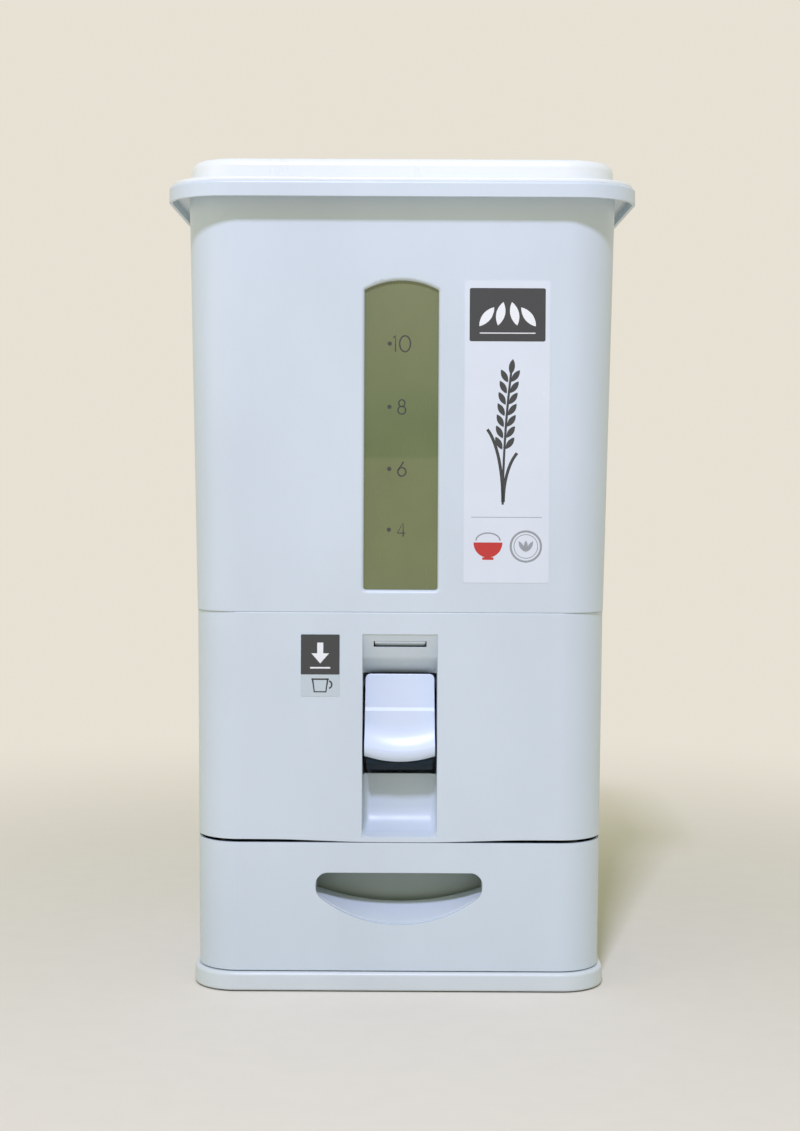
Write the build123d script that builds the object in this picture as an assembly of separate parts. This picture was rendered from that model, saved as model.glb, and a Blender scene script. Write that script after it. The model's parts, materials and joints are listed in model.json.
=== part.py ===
from build123d import *
from math import atan2, cos, degrees, hypot, radians, sin, sqrt
import os

# A household rice dispenser. X is its width, the front faces -Y and Z is up.
# The origin is on the floor, under the middle of the rim. Sizes are in millimetres and degrees.

# ---- Running clearances ------------------------------------------------------------------
fit_gap = 0.05  # radial, between a pin and its bore
slip_gap = 0.4  # between a piece and the pocket it drops into
run_gap = 1.0  # between moving pieces and what they pass

# ---- Base and feet -----------------------------------------------------------------------
base_overhang = 3.5  # past the housing's skin, all round
base_corner = 35.0
base_height = 14.5
base_plate = 2.6
base_edge_round = 3.0
foot_proud = 1.0
foot_radius = 11.0
foot_thickness = 3.0
foot_inset_x = 26.0
foot_inset_y = 30.0
foot_socket_wall = 2.0
base_screw_rear_inset = 42.0

# ---- Lower housing -----------------------------------------------------------------------
housing_width = 322.0
housing_depth = 254.0
housing_corner = 34.0
housing_height = 285.5
housing_flare = 3.0
housing_wall = 2.6
housing_edge_round = 0.8
jamb_setback = 46.0
base_boss_height = 12.0
front_edge_gap = 2.6
front_edge_low_gap = 0.5
front_edge_low_half = 30.0
front_edge_high_half = 92.0
front_edge_blend = 900.0

# ---- Hopper ------------------------------------------------------------------------------
hopper_corner = 34.0
hopper_height = 339.0
hopper_flare = 8.3
hopper_wall = 2.6
hopper_flange = 9.0
hopper_flange_thickness = 3.0
flange_screw_inset_x = 68.9
flange_screw_inset_y = 67.6
rim_overhang = 15.2  # past the hopper's mouth, all round
rim_corner = 50.0
rim_height = 12.5
rim_plate = 6.3
rim_skirt = 2.6
rim_edge_round = 2.4

# ---- Lid ---------------------------------------------------------------------------------
lid_flange_inset = 2.5  # from the rim's edge
lid_flange_corner = 48.0
lid_flange_thickness = 3.0
lid_panel_inset = 17.0  # from the rim's edge
lid_panel_corner = 40.0
lid_panel_rise = 17.4
lid_panel_round = 7.0
lid_wall = 2.4
lid_skirt_depth = 9.0
lid_skirt_wall = 2.0
lid_skirt_gap = 2.4  # from the hopper's wall, room for the seal
lid_seal_gap = 0.5
lid_seal_height = 3.5
lid_seal_top = 2.5  # below the hopper's top

# ---- Level window ------------------------------------------------------------------------
window_width = 58.6
window_height = 245.0
window_arch = 7.6
window_bottom = 17.8  # above the hopper's foot
window_bottom_corner = 2.0
window_bevel = 3.0
window_pad = 6.0
window_pad_margin = 14.0
pane_thickness = 2.2
pane_margin = 5.0
retainer_thickness = 1.8
retainer_margin = 10.0

# ---- Labels ------------------------------------------------------------------------------
label_film = 0.25
info_label_width = 67.5
info_label_height = 239.0
info_label_x = 83.6
info_label_bottom = 24.0  # above the hopper's foot
dose_label_width = 30.7
dose_label_height = 49.2
dose_label_x = -63.3
dose_label_top = 17.6  # below the housing's top

# ---- Funnel and dosing -------------------------------------------------------------------
funnel_wall = 2.2
funnel_flange_thickness = 2.4
funnel_gasket_thickness = 1.0
funnel_neck = 4.0
slot_width = 160.0
slot_depth = 18.5
slot_corner = 4.0
chamber_height = 61.0
chamber_wall = 2.4
chamber_floor_height = 149.0
blade_thickness = 2.4
blade_lap = 0.5
blade_gap = 0.9
chute_bottom_height = 116.0
chute_flange = 9.0
chute_flange_thickness = 2.4
chute_margin = 2.0  # wider than the well above it
chute_screw_x = 56.0

# ---- Press lever -------------------------------------------------------------------------
press_angle = 36.0
pivot_setback = 45.0
pivot_height = 243.0
shaft_radius = 3.0
hub_radius = 7.0
cheek_inner = 23.5
cheek_thickness = 3.0
cheek_drop = 26.0
yoke_pin_radius = 2.5
yoke_slot_gap = 0.35
yoke_pin_overhang = 1.5
spring_coil_half = 9.0
spring_wire = 0.8  # radius
spring_gap = 0.5
spring_leg_rise = 6.0
spring_leg_reach = 6.5
arm_end_radius = 4.5
paddle_top_width = 55.0
paddle_lip_width = 56.8
paddle_top_corner = 4.0
paddle_thickness = 3.0
lip_height = 191.0
lip_setback = 1.6
lip_drop = 9.2
lip_smile = 4.6
nose_round = 3.0
paddle_rise = 59.5  # of its top over the lip, as with the next three
crease_rise = 33.0
waist_rise = 20.5
swell_rise = 8.5
paddle_top_setback = 15.0
crease_setback = 13.2
crease_step = 1.8
crease_step_height = 2.4
waist_setback = 10.7
swell_setback = 7.6
skirt_radius = 73.4  # about the lever's shaft
skirt_thickness = 2.0
skirt_front_setback = 5.6
skirt_back_setback = 29.0

# ---- Finger recess in the housing --------------------------------------------------------
recess_face_width = 59.6
recess_deep_width = 59.0
recess_wall = 2.4
recess_top_height = 283.6
brow_height = 263.0
brow_setback = 9.5
brow_round = 12.0
opening_top_height = 250.7
opening_top_setback = 24.0
scoop_top_height = 168.5
scoop_setback = 30.0
scoop_floor_height = 124.5
scoop_lip_height = 122.2
scoop_round = 18.0
scoop_floor_flat = 1.0
scoop_side_round = 6.0
scoop_lip_depth = 3.0
latch_width = 42.0
latch_height = 4.7
latch_top_height = 277.9
latch_gap = 0.9
latch_bottom_gap = 2.8
latch_top_gap = 0.12
latch_thickness = 2.4
ear_thickness = 3.0
ear_radius = 9.0

# ---- Shutter slide and its guides --------------------------------------------------------
slide_bar_gap = 2.1
slide_bar = 2.5
guide_thickness = 6.0
guide_groove = 2.6
guide_end = 4.2
guide_foot = 11.0
guide_foot_thickness = 3.0
tongue_width = 32.0
tongue_thickness = 3.6
fork_prong = 4.0
fork_reach = 1.5  # below the middle of the yoke pin at its lowest
slide_web = 2.5
web_window_side = 12.0
web_window_middle = 14.0
web_window_end = 8.0
gusset_height = 14.0
gusset_length = 22.0
rib_thickness = 2.4
chamber_rib_x = 60.8
guide_screw_inset = 14.0
plate_screw_low = 12.0
plate_screw_high = 22.0
plate_screw_length = 8.0

# ---- Deck --------------------------------------------------------------------------------
deck_height = 121.5
deck_thickness = 2.6
boss_radius = 5.0
deck_boss_height = 22.0
deck_screw_inset = 71.1

# ---- Drawer ------------------------------------------------------------------------------
drawer_gap = 0.8
drawer_height = 101.7
drawer_wall = 2.6
grip_width = 132.4
grip_top_height = 94.1
grip_corner = 9.5
grip_lower_corner = 11.0
grip_side_drop = 17.1  # below its top, as with the next three
grip_drop = 41.5
pocket_side_drop = 15.7
pocket_floor_drop = 27.8
pocket_depth = 25.0
pocket_wall = 2.4
pocket_lip = 5.0
pocket_floor = 3.0
tub_side_gap = 16.0  # from the housing's skin
tub_corner = 16.0
tub_setback = 33.0
tub_back_gap = 20.0
tub_bottom_height = 18.5
tub_height = 93.5
tub_wall = 2.2
tub_lip = 2.0
drawer_travel = 130.0
runner_width = 6.0
runner_height = 3.0
runner_bottom_height = 30.0
stop_lug_height = 2.5
stop_lug_length = 4.0
stop_lug_width = 2.5
rail_wall = 2.5
rail_front_gap = 16.0  # behind the drawer's jamb
rail_back_gap = 24.0  # in front of the housing's back
rail_screw_inset = 32.0
rail_screw_side = 3.5
rail_run_gap = 0.3
rail_foot = 3.0
rail_side_gap = 2.0
drawer_screw_gap = 32.0  # beside the hand opening
drawer_screw_length = 15.0
drawer_screw_inset = 22.0  # from the tub's top and bottom

# ---- Screws ------------------------------------------------------------------------------
screw_radius = 2.0
screw_head_radius = 3.8
screw_head_height = 2.4

# ---- Levels and places worked out from the sizes above -----------------------------------
hopper_width = housing_width + 2 * housing_flare
hopper_depth = housing_depth + 2 * housing_flare
rim_width = hopper_width + 2 * (hopper_flare + rim_overhang)
rim_depth = hopper_depth + 2 * (hopper_flare + rim_overhang)
base_width = housing_width + 2 * base_overhang
base_depth = housing_depth + 2 * base_overhang
tub_width = housing_width - 2 * tub_side_gap

base_bottom = foot_proud
base_top = base_bottom + base_height
housing_top = base_top + housing_height
hopper_bottom = housing_top
hopper_top = hopper_bottom + hopper_height
rim_bottom = hopper_top - rim_height
flange_top = hopper_bottom + hopper_flange_thickness
lid_flange_top = hopper_top + lid_flange_thickness
lid_top = lid_flange_top + lid_panel_rise
drawer_bottom = base_top + drawer_gap
drawer_top = drawer_bottom + drawer_height
front_edge = drawer_top + front_edge_gap
grip_side_height = grip_top_height - grip_side_drop
grip_bottom_height = grip_top_height - grip_drop
pocket_side_height = grip_top_height - pocket_side_drop
pocket_floor_height = grip_top_height - pocket_floor_drop
lip_bottom_height = lip_height - lip_drop
paddle_top_height = lip_height + paddle_rise
crease_height = lip_height + crease_rise
waist_height = lip_height + waist_rise
far = 400.0  # longer than half the object, for cuts that run right through
beyond_skin = 20.0  # how far a cut or rib starts outside the face it is trimmed to

housing_slope = housing_flare / housing_height
hopper_slope = hopper_flare / hopper_height

gasket_top = flange_top + funnel_gasket_thickness
funnel_flange_top = gasket_top + funnel_flange_thickness
chamber_top = chamber_floor_height + chamber_height
upper_blade_bottom = chamber_top + blade_gap
upper_blade_top = upper_blade_bottom + blade_thickness
lower_blade_top = chamber_floor_height - blade_gap
lower_blade_bottom = lower_blade_top - blade_thickness
funnel_bottom = upper_blade_top + blade_gap
chute_top = lower_blade_bottom - blade_gap
deck_top = deck_height + deck_thickness

# The upper blade closes before the lower one opens, so the travel is two slots and two laps.
slide_travel = 2 * (slot_depth + blade_lap)
pin_arm = slide_travel / (2 * sin(radians(press_angle / 2)))
slot_half = slot_depth / 2
upper_blade_back = -slot_half - blade_lap
slide_front = -slot_half - chamber_wall - run_gap - slide_travel - slide_web
lower_blade_back = slot_half + blade_lap
lower_blade_front = -slot_half - slot_depth - 2 * blade_lap

chamber_half_x = slot_width / 2 + chamber_wall
bar_inner = chamber_half_x + slide_bar_gap
bar_outer = bar_inner + slide_bar
guide_inner = bar_outer + run_gap
guide_outer = guide_inner + guide_thickness
blade_edge = guide_inner + guide_groove - slip_gap
guide_front = slide_front - guide_end
guide_back = lower_blade_back + slide_travel + guide_end
guide_top = upper_blade_top + guide_end


def housing_front(z):
    """Y of the housing's flat front face at that height."""
    return -housing_depth / 2 - housing_slope * (z - base_top)


def hopper_front(z):
    """Y of the hopper's flat front face at that height."""
    return -hopper_depth / 2 - hopper_slope * (z - hopper_bottom)


pivot_y = housing_front(pivot_height) + pivot_setback
jamb_y = housing_front(drawer_top) + jamb_setback
pin_rest_y = pivot_y - pin_arm * sin(radians(press_angle / 2))
pin_rest_z = pivot_height - pin_arm * cos(radians(press_angle / 2))
pin_low_z = pivot_height - pin_arm
pin_reach = cheek_inner + cheek_thickness + yoke_pin_overhang
ear_inner = recess_deep_width / 2 + 1.0
hub_outer = ear_inner - 0.5
tub_front = housing_front(drawer_top) + tub_setback
tub_back = housing_depth / 2 - tub_back_gap
tub_top = tub_bottom_height + tub_height
runner_top = runner_bottom_height + runner_height
rail_front = jamb_y + rail_front_gap
rail_back = housing_depth / 2 - rail_back_gap
rail_inner = tub_width / 2 + rail_side_gap
rail_web_inner = tub_width / 2 + runner_width + run_gap


# ---- Small helpers -----------------------------------------------------------------------
def outline(width, depth, radius, z):
    """Rounded rectangle across Z at that height."""
    return Plane.XY.offset(z) * RectangleRounded(width, depth, radius)


def slab(width, depth, radius, z0, z1):
    """Upright block with rounded corners."""
    return extrude(outline(width, depth, radius, z0), z1 - z0)


def block(x0, x1, y0, y1, z0, z1):
    """Box between two corners."""
    centre = Pos((x0 + x1) / 2, (y0 + y1) / 2, (z0 + z1) / 2)
    return centre * Box(abs(x1 - x0), abs(y1 - y0), abs(z1 - z0))


def upright(x, y, z0, z1, radius):
    """Cylinder along Z."""
    return Pos(x, y, (z0 + z1) / 2) * Cylinder(radius, z1 - z0)


def crosswise(x0, x1, y, z, radius):
    """Cylinder along X."""
    return Pos((x0 + x1) / 2, y, z) * Rot(0, 90, 0) * Cylinder(radius, x1 - x0)


def lengthwise(x, y0, y1, z, radius):
    """Cylinder along Y."""
    return Pos(x, (y0 + y1) / 2, z) * Rot(90, 0, 0) * Cylinder(radius, y1 - y0)


def side_profile(points, x0, x1):
    """Polygon given as (y, z) points, extruded along X."""
    wire = Polyline(*[(x0, y, z) for y, z in points], close=True)
    return extrude(make_face(wire), x1 - x0, dir=(1, 0, 0))


def merge(*shapes):
    """One solid from pieces that overlap."""
    whole = shapes[0]
    for shape in shapes[1:]:
        whole = whole + shape
    return whole


def mirrored(shape):
    """The same piece on the other side of the middle plane."""
    return mirror(shape, about=Plane.YZ)


def group(solids):
    """Separate identical solids kept as one node."""
    return Compound(children=[s for shape in solids for s in shape.solids()])


def screw_up(x, y, seat, tip):
    """Screw with its head under a seat, pointing up."""
    return merge(
        upright(x, y, seat - screw_head_height, seat, screw_head_radius),
        upright(x, y, seat - 0.5, tip, screw_radius),
    )


def screw_down(x, y, seat, tip):
    """Screw with its head on a seat, pointing down."""
    return merge(
        upright(x, y, seat, seat + screw_head_height, screw_head_radius),
        upright(x, y, tip, seat + 0.5, screw_radius),
    )


def bore_up(x, y, z0, z1):
    """Hole that holds a screw."""
    return upright(x, y, z0, z1, screw_radius + fit_gap)


# ---- Tapered bodies ----------------------------------------------------------------------
def housing_outline(z, inset):
    grow = housing_slope * (z - base_top) - inset
    return outline(housing_width + 2 * grow, housing_depth + 2 * grow, housing_corner + grow, z)


def housing_block(z0, z1, inset):
    """Everything inside the housing's skin, inset by that much, between two heights."""
    return loft([housing_outline(z0, inset), housing_outline(z1, inset)])


def hopper_outline(z, inset):
    grow = hopper_slope * (z - hopper_bottom) - inset
    return outline(hopper_width + 2 * grow, hopper_depth + 2 * grow, hopper_corner + grow, z)


def hopper_block(z0, z1, inset):
    """Everything inside the hopper's skin, inset by that much, between two heights."""
    return loft([hopper_outline(z0, inset), hopper_outline(z1, inset)])


def face_plane(front, slope, z, depth=0.0):
    """Plane on a tapered front face, its Y running up the face, set back by a depth."""
    lean = atan2(slope, 1.0)
    plane = Plane(origin=(0, front(z), z), x_dir=(1, 0, 0), z_dir=(0, -cos(lean), -sin(lean)))
    return plane.offset(-depth)


def hopper_face(depth=0.0):
    return face_plane(hopper_front, hopper_slope, hopper_bottom, depth)


def flange_mouth(gap, z0, z1):
    """The opening inside the hopper's bottom flange, drawn in by a gap."""
    inset = hopper_wall + hopper_flange + gap
    width = hopper_width - 2 * inset
    depth = hopper_depth - 2 * inset
    return slab(width, depth, hopper_corner - inset + hopper_wall, z0, z1)


def flange_screws():
    """Places of the funnel's screws, in the middle of the hopper's flange."""
    inset = hopper_wall + hopper_flange / 2
    x_side = hopper_width / 2 - inset
    y_side = hopper_depth / 2 - inset
    x_step = hopper_width / 2 - flange_screw_inset_x
    y_step = hopper_depth / 2 - flange_screw_inset_y
    along_front = [(sx * x_step, sy * y_side) for sx in (-1, 1) for sy in (-1, 1)]
    along_sides = [(sx * x_side, sy * y_step) for sx in (-1, 1) for sy in (-1, 1)]
    return along_front + along_sides


# ---- Hopper ------------------------------------------------------------------------------
def window_shape(grow):
    """Outline of the level window on the hopper's face: square foot, shallow arched head."""
    half = window_width / 2 + grow
    foot = window_bottom - grow
    side = window_bottom + window_height - window_arch + grow * 0.5
    head = window_bottom + window_height + grow
    foot_line = Line((-half, foot), (half, foot))
    right = Line((half, foot), (half, side))
    arch = ThreePointArc((half, side), (0, head), (-half, side))
    left = Line((-half, side), (-half, foot))
    face = make_face([foot_line, right, arch, left])
    return fillet(face.vertices(), window_bottom_corner + max(grow, 0) * 0.4)


def hopper_rim():
    """Turned-over rim: a top plate and a skirt round the hopper's mouth."""
    rim = slab(rim_width, rim_depth, rim_corner, rim_bottom, hopper_top)
    top_edges = rim.faces().sort_by(Axis.Z)[-1].edges()
    rim = fillet(top_edges, rim_edge_round)
    channel = slab(
        rim_width - 2 * rim_skirt,
        rim_depth - 2 * rim_skirt,
        rim_corner - rim_skirt,
        rim_bottom - 1,
        hopper_top - rim_plate,
    )
    return rim - channel


def hopper_shell():
    skin = hopper_block(hopper_bottom, hopper_top - rim_plate / 2, 0)
    foot_edges = skin.faces().sort_by(Axis.Z)[0].edges()
    skin = fillet(foot_edges, housing_edge_round)
    body = merge(skin, hopper_rim())
    body -= hopper_block(flange_top, hopper_top + 1, hopper_wall)
    body += window_frame()
    body -= extrude(hopper_face(-1.0) * window_shape(0), -window_pad - 4)
    body = bevel_window(body)
    body -= extrude(hopper_face(window_pad - pane_thickness) * window_shape(pane_margin + 0.1), -20)
    body -= flange_mouth(0, hopper_bottom - 1, flange_top + 1)
    for x, y in flange_screws():
        body += upright(x, y, hopper_bottom - 6, hopper_bottom + 1, boss_radius - 1)
        body -= bore_up(x, y, hopper_bottom - 5, flange_top + 1)
    return body


def window_frame():
    """Thickening behind the hopper's face that the pane sits in."""
    z0 = hopper_bottom + window_bottom - window_pad_margin + 4
    z1 = hopper_bottom + window_bottom + window_height + window_pad_margin
    half = window_width / 2 + window_pad_margin
    pad = hopper_block(z0, z1, hopper_wall / 2) - hopper_block(z0 - 1, z1 + 1, window_pad)
    return pad & block(-half, half, -far, 0, z0, z1)


def bevel_window(body):
    """Rounds the outer edge of the window opening."""
    plane = hopper_face()
    rim_edges = []
    for edge in body.edges():
        centre = plane.to_local_coords(edge.center())
        near = window_bottom - 2 < centre.Y < window_bottom + window_height + 2
        if abs(centre.Z) < 0.01 and abs(centre.X) < window_width / 2 + 1 and near:
            rim_edges.append(edge)
    return fillet(rim_edges, window_bevel)


def window_pane():
    seat = hopper_face(window_pad - pane_thickness)
    return extrude(seat * window_shape(pane_margin), -pane_thickness)


def window_retainer():
    ring = window_shape(retainer_margin) - window_shape(-1.0)
    return extrude(hopper_face(window_pad) * ring, -retainer_thickness)


def info_label():
    middle = info_label_bottom + info_label_height / 2
    film = Pos(info_label_x, middle) * RectangleRounded(info_label_width, info_label_height, 2.0)
    return extrude(hopper_face() * film, label_film)


# ---- Lid ---------------------------------------------------------------------------------
def lid_skirt_size(gap):
    """Width, depth and corner of the hopper's mouth, drawn in by a gap."""
    grow = hopper_slope * (hopper_top - lid_skirt_depth - hopper_bottom) - hopper_wall - gap
    return hopper_width + 2 * grow, hopper_depth + 2 * grow, hopper_corner + grow


def lid_slab(inset, corner, z0, z1):
    """Block inside the rim's outline."""
    return slab(rim_width - 2 * inset, rim_depth - 2 * inset, corner, z0, z1)


def lid():
    flange = lid_slab(lid_flange_inset, lid_flange_corner, hopper_top, lid_flange_top)
    flange = fillet(flange.faces().sort_by(Axis.Z)[-1].edges(), lid_flange_thickness * 0.5)
    panel = lid_slab(lid_panel_inset, lid_panel_corner, hopper_top + 1, lid_top)
    panel = fillet(panel.faces().sort_by(Axis.Z)[-1].edges(), lid_panel_round)
    inset = lid_panel_inset + lid_wall
    hollow = lid_slab(inset, lid_panel_corner - lid_wall, lid_flange_top, lid_top - lid_wall)
    hollow = fillet(hollow.faces().sort_by(Axis.Z)[-1].edges(), lid_panel_round - lid_wall)
    skirt_foot = hopper_top - lid_skirt_depth
    skirt = slab(*lid_skirt_size(lid_skirt_gap), skirt_foot, hopper_top + 1)
    mouth_size = lid_skirt_size(lid_skirt_gap + lid_skirt_wall)
    mouth = slab(*mouth_size, skirt_foot - 1, lid_flange_top + 1)
    return merge(flange, panel, skirt) - hollow - mouth


def lid_seal():
    outer = lid_skirt_size(lid_seal_gap)
    inner = lid_skirt_size(lid_skirt_gap)
    z1 = hopper_top - lid_seal_top
    z0 = z1 - lid_seal_height
    return slab(*outer, z0, z1) - slab(*inner, z0 - 1, z1 + 1)


# ---- Funnel ------------------------------------------------------------------------------
def funnel_cone(inset):
    """Sloping walls from the hopper's flange down to the slot, inset by that much."""
    edge = hopper_wall + hopper_flange + slip_gap + inset
    corner = hopper_corner - edge + hopper_wall + 4
    top = outline(hopper_width - 2 * edge, hopper_depth - 2 * edge, corner, flange_top)
    slot = outline(
        slot_width + 2 * (funnel_wall - inset),
        slot_depth + 2 * (funnel_wall - inset),
        slot_corner + funnel_wall - inset,
        funnel_bottom + funnel_neck,
    )
    return loft([top, slot])


def funnel_collar(inset, z0, z1):
    """Straight part of the funnel inside the flange."""
    edge = hopper_wall + hopper_flange + slip_gap + inset
    corner = hopper_corner - edge + hopper_wall + 4
    return slab(hopper_width - 2 * edge, hopper_depth - 2 * edge, corner, z0, z1)


def funnel_neck_block(inset, z0, z1):
    grow = 2 * (funnel_wall - inset)
    return slab(slot_width + grow, slot_depth + grow, slot_corner + grow / 2, z0, z1)


def flange_ring(z0, z1):
    """Ring that lies on the hopper's flange."""
    inset = hopper_wall + slip_gap
    return slab(hopper_width - 2 * inset, hopper_depth - 2 * inset, hopper_corner - inset, z0, z1)


def funnel():
    outer = merge(
        funnel_cone(0),
        funnel_collar(0, flange_top, gasket_top + 0.5),
        funnel_neck_block(0, funnel_bottom, funnel_bottom + funnel_neck),
        flange_ring(gasket_top, funnel_flange_top),
    )
    inner = merge(
        funnel_cone(funnel_wall),
        funnel_collar(funnel_wall, flange_top, funnel_flange_top + 1),
        funnel_neck_block(funnel_wall, funnel_bottom - 1, funnel_bottom + funnel_neck),
    )
    body = outer - inner
    for x, y in flange_screws():
        body -= bore_up(x, y, gasket_top - 1, funnel_flange_top + 1)
    return body


def funnel_gasket():
    ring = flange_ring(flange_top, gasket_top) - flange_mouth(0, flange_top - 1, gasket_top + 1)
    for x, y in flange_screws():
        ring -= bore_up(x, y, flange_top - 1, gasket_top + 1)
    return ring


def funnel_screws():
    return group([screw_down(x, y, funnel_flange_top, hopper_bottom - 4) for x, y in flange_screws()])


# ---- Finger recess -----------------------------------------------------------------------
def recess_profile():
    """Side view of the recess, from the brow over the lever's opening to the scoop."""
    face = housing_front(pivot_height)
    outside = face - beyond_skin
    deep = face + scoop_setback
    floor_end = scoop_setback - scoop_round - scoop_floor_flat
    lines = [
        Line((outside, scoop_lip_height), (outside, recess_top_height)),
        Line((outside, recess_top_height), (face, recess_top_height)),
        Line((face, recess_top_height), (face + brow_setback, brow_height)),
        Line((face + brow_setback, brow_height), (face + opening_top_setback, opening_top_height)),
        Line((face + opening_top_setback, opening_top_height), (deep, scoop_top_height)),
        Line((deep, scoop_top_height), (deep, scoop_floor_height)),
        Line((deep, scoop_floor_height), (face + floor_end, scoop_floor_height)),
        Line((face + floor_end, scoop_floor_height), (face, scoop_lip_height)),
        Line((face, scoop_lip_height), (outside, scoop_lip_height)),
    ]
    sketch = make_face(lines)
    corner = sketch.vertices().sort_by_distance((deep, scoop_floor_height))[0]
    sketch = fillet(corner, scoop_round)
    corner = sketch.vertices().sort_by_distance((face + brow_setback, brow_height))[0]
    return fillet(corner, brow_round)


def recess_block(grow):
    """The recess as a solid, or its outside when grown by the wall."""
    face = housing_front(pivot_height)
    sketch = recess_profile()
    if grow > 0:
        sketch = offset(sketch, grow, kind=Kind.INTERSECTION)
    yz = Plane(origin=(-far / 4, 0, 0), x_dir=(0, 1, 0), z_dir=(1, 0, 0))
    long_block = extrude(yz * sketch, far / 2)
    front = recess_face_width / 2 + grow
    deep = recess_deep_width / 2 + grow
    plan = Polyline(
        (-front, face - beyond_skin, 0),
        (-front, face, 0),
        (-deep, face + scoop_setback, 0),
        (-deep, face + scoop_setback + beyond_skin, 0),
        (deep, face + scoop_setback + beyond_skin, 0),
        (deep, face + scoop_setback, 0),
        (front, face, 0),
        (front, face - beyond_skin, 0),
        close=True,
    )
    column = extrude(make_face(plan), far)
    return long_block & column


def rounded_void():
    """The recess with its upright back corners rounded, and square again at its front lip."""
    void = recess_block(0)
    face = housing_front(pivot_height)
    picked = []
    for edge in void.edges():
        centre = edge.center()
        in_scoop = centre.Z < scoop_top_height - 2 and centre.Y > face + 1
        if in_scoop and abs(abs(centre.X) - recess_deep_width / 2) < 2.0:
            picked.append(edge)
    lip = block(-far / 2, far / 2, -far, face + scoop_lip_depth, 0, scoop_top_height)
    return fillet(picked, scoop_side_round) + (recess_block(0) & lip)


def lever_opening():
    """Way from the recess into the housing that the lever swings through."""
    face = housing_front(pivot_height)
    half = recess_deep_width / 2
    back = face + scoop_setback + recess_wall + 6
    return block(-half, half, face + 6, back, scoop_top_height, opening_top_height)


def latch_window():
    """Slot in the brow that the hopper's catch looks out of."""
    half = latch_width / 2
    back = housing_front(brow_height) + beyond_skin
    return block(-half, half, -far / 2, back, latch_top_height - latch_height, latch_top_height)


# ---- Lower housing -----------------------------------------------------------------------
def drawer_cut():
    """Space for the drawer's front. Its upper edge dips below the recess."""
    low = drawer_top + front_edge_low_gap
    half = housing_width
    edge = FilletPolyline(
        (half, front_edge),
        (front_edge_high_half, front_edge),
        (front_edge_low_half, low),
        (-front_edge_low_half, low),
        (-front_edge_high_half, front_edge),
        (-half, front_edge),
        radius=front_edge_blend,
    )
    foot = Polyline((-half, front_edge), (-half, 0), (half, 0), (half, front_edge))
    cut = extrude(Plane.XZ * make_face([edge, foot]), far)
    return cut & block(-far, far, -far, jamb_y, 0, far)


def base_screw_places():
    rear_x = housing_width / 2 - base_screw_rear_inset
    rear_y = housing_depth / 2 - housing_wall - boss_radius - 1.6
    front_x = housing_width / 2 - housing_wall - boss_radius - 0.4
    front_y = jamb_y + boss_radius + 2
    return [(sx * rear_x, rear_y) for sx in (-1, 1)] + [(sx * front_x, front_y) for sx in (-1, 1)]


def deck_screw_places():
    x = housing_width / 2 - housing_wall - boss_radius - 1
    y_step = housing_depth / 2 - deck_screw_inset
    return [(sx * x, sy * y_step) for sx in (-1, 1) for sy in (-1, 1)]


def boss_to_wall(x, y, z0, z1):
    """Screw boss with a rib that reaches the nearest wall, trimmed to the housing's skin."""
    boss = upright(x, y, z0, z1, boss_radius)
    if abs(y) > housing_depth / 2 - beyond_skin:
        rib = block(x - boss_radius, x + boss_radius, y, y + beyond_skin, z0, z1)
    else:
        reach = x + beyond_skin if x > 0 else x - beyond_skin
        rib = block(min(x, reach), max(x, reach), y - boss_radius, y + boss_radius, z0, z1)
    return merge(boss, rib) & housing_block(z0 - 1, z1 + 1, housing_wall / 2)


def lower_housing():
    body = housing_block(base_top, housing_top, 0)
    body = fillet(body.faces().sort_by(Axis.Z)[-1].edges(), housing_edge_round)
    body -= housing_block(base_top - 1, housing_top - housing_wall, housing_wall)
    body -= flange_mouth(-1.0, housing_top - 10, housing_top + 1)
    for x, y in flange_screws():
        body -= upright(x, y, housing_top - 10, housing_top + 1, boss_radius - 1 + slip_gap)
    body += recess_block(recess_wall) & housing_block(base_top, housing_top - 2, 0.3)
    body -= rounded_void()
    body -= lever_opening()
    body -= latch_window()
    body -= latch_way()
    body -= drawer_cut()
    for side in (-1, 1):
        body += shaft_ear(side)
    for x, y in base_screw_places():
        body += boss_to_wall(x, y, base_top, base_top + base_boss_height)
        body -= bore_up(x, y, base_top - 1, base_top + base_boss_height - 2)
    for x, y in deck_screw_places():
        body += boss_to_wall(x, y, deck_top, deck_top + deck_boss_height)
        body -= bore_up(x, y, deck_top - 1, deck_top + deck_boss_height - 4)
    body -= crosswise(-far / 2, far / 2, pivot_y, pivot_height, shaft_radius) & block(
        -ear_inner - ear_thickness - 1, ear_inner + ear_thickness + 1, -far, far, 0, far
    )
    return body


def shaft_ear(side):
    """Plate behind the recess that holds one end of the lever's shaft."""
    x0 = ear_inner
    x1 = ear_inner + ear_thickness
    front = housing_front(pivot_height) + 6
    plate = block(x0, x1, front, pivot_y, pivot_height - ear_radius - 2, pivot_height + ear_radius)
    end = crosswise(x0, x1, pivot_y, pivot_height, ear_radius)
    web = block(x0, x1, front, pivot_y - ear_radius / 2, scoop_top_height, pivot_height - ear_radius)
    ear = merge(plate, end, web)
    return ear if side > 0 else mirrored(ear)


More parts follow.
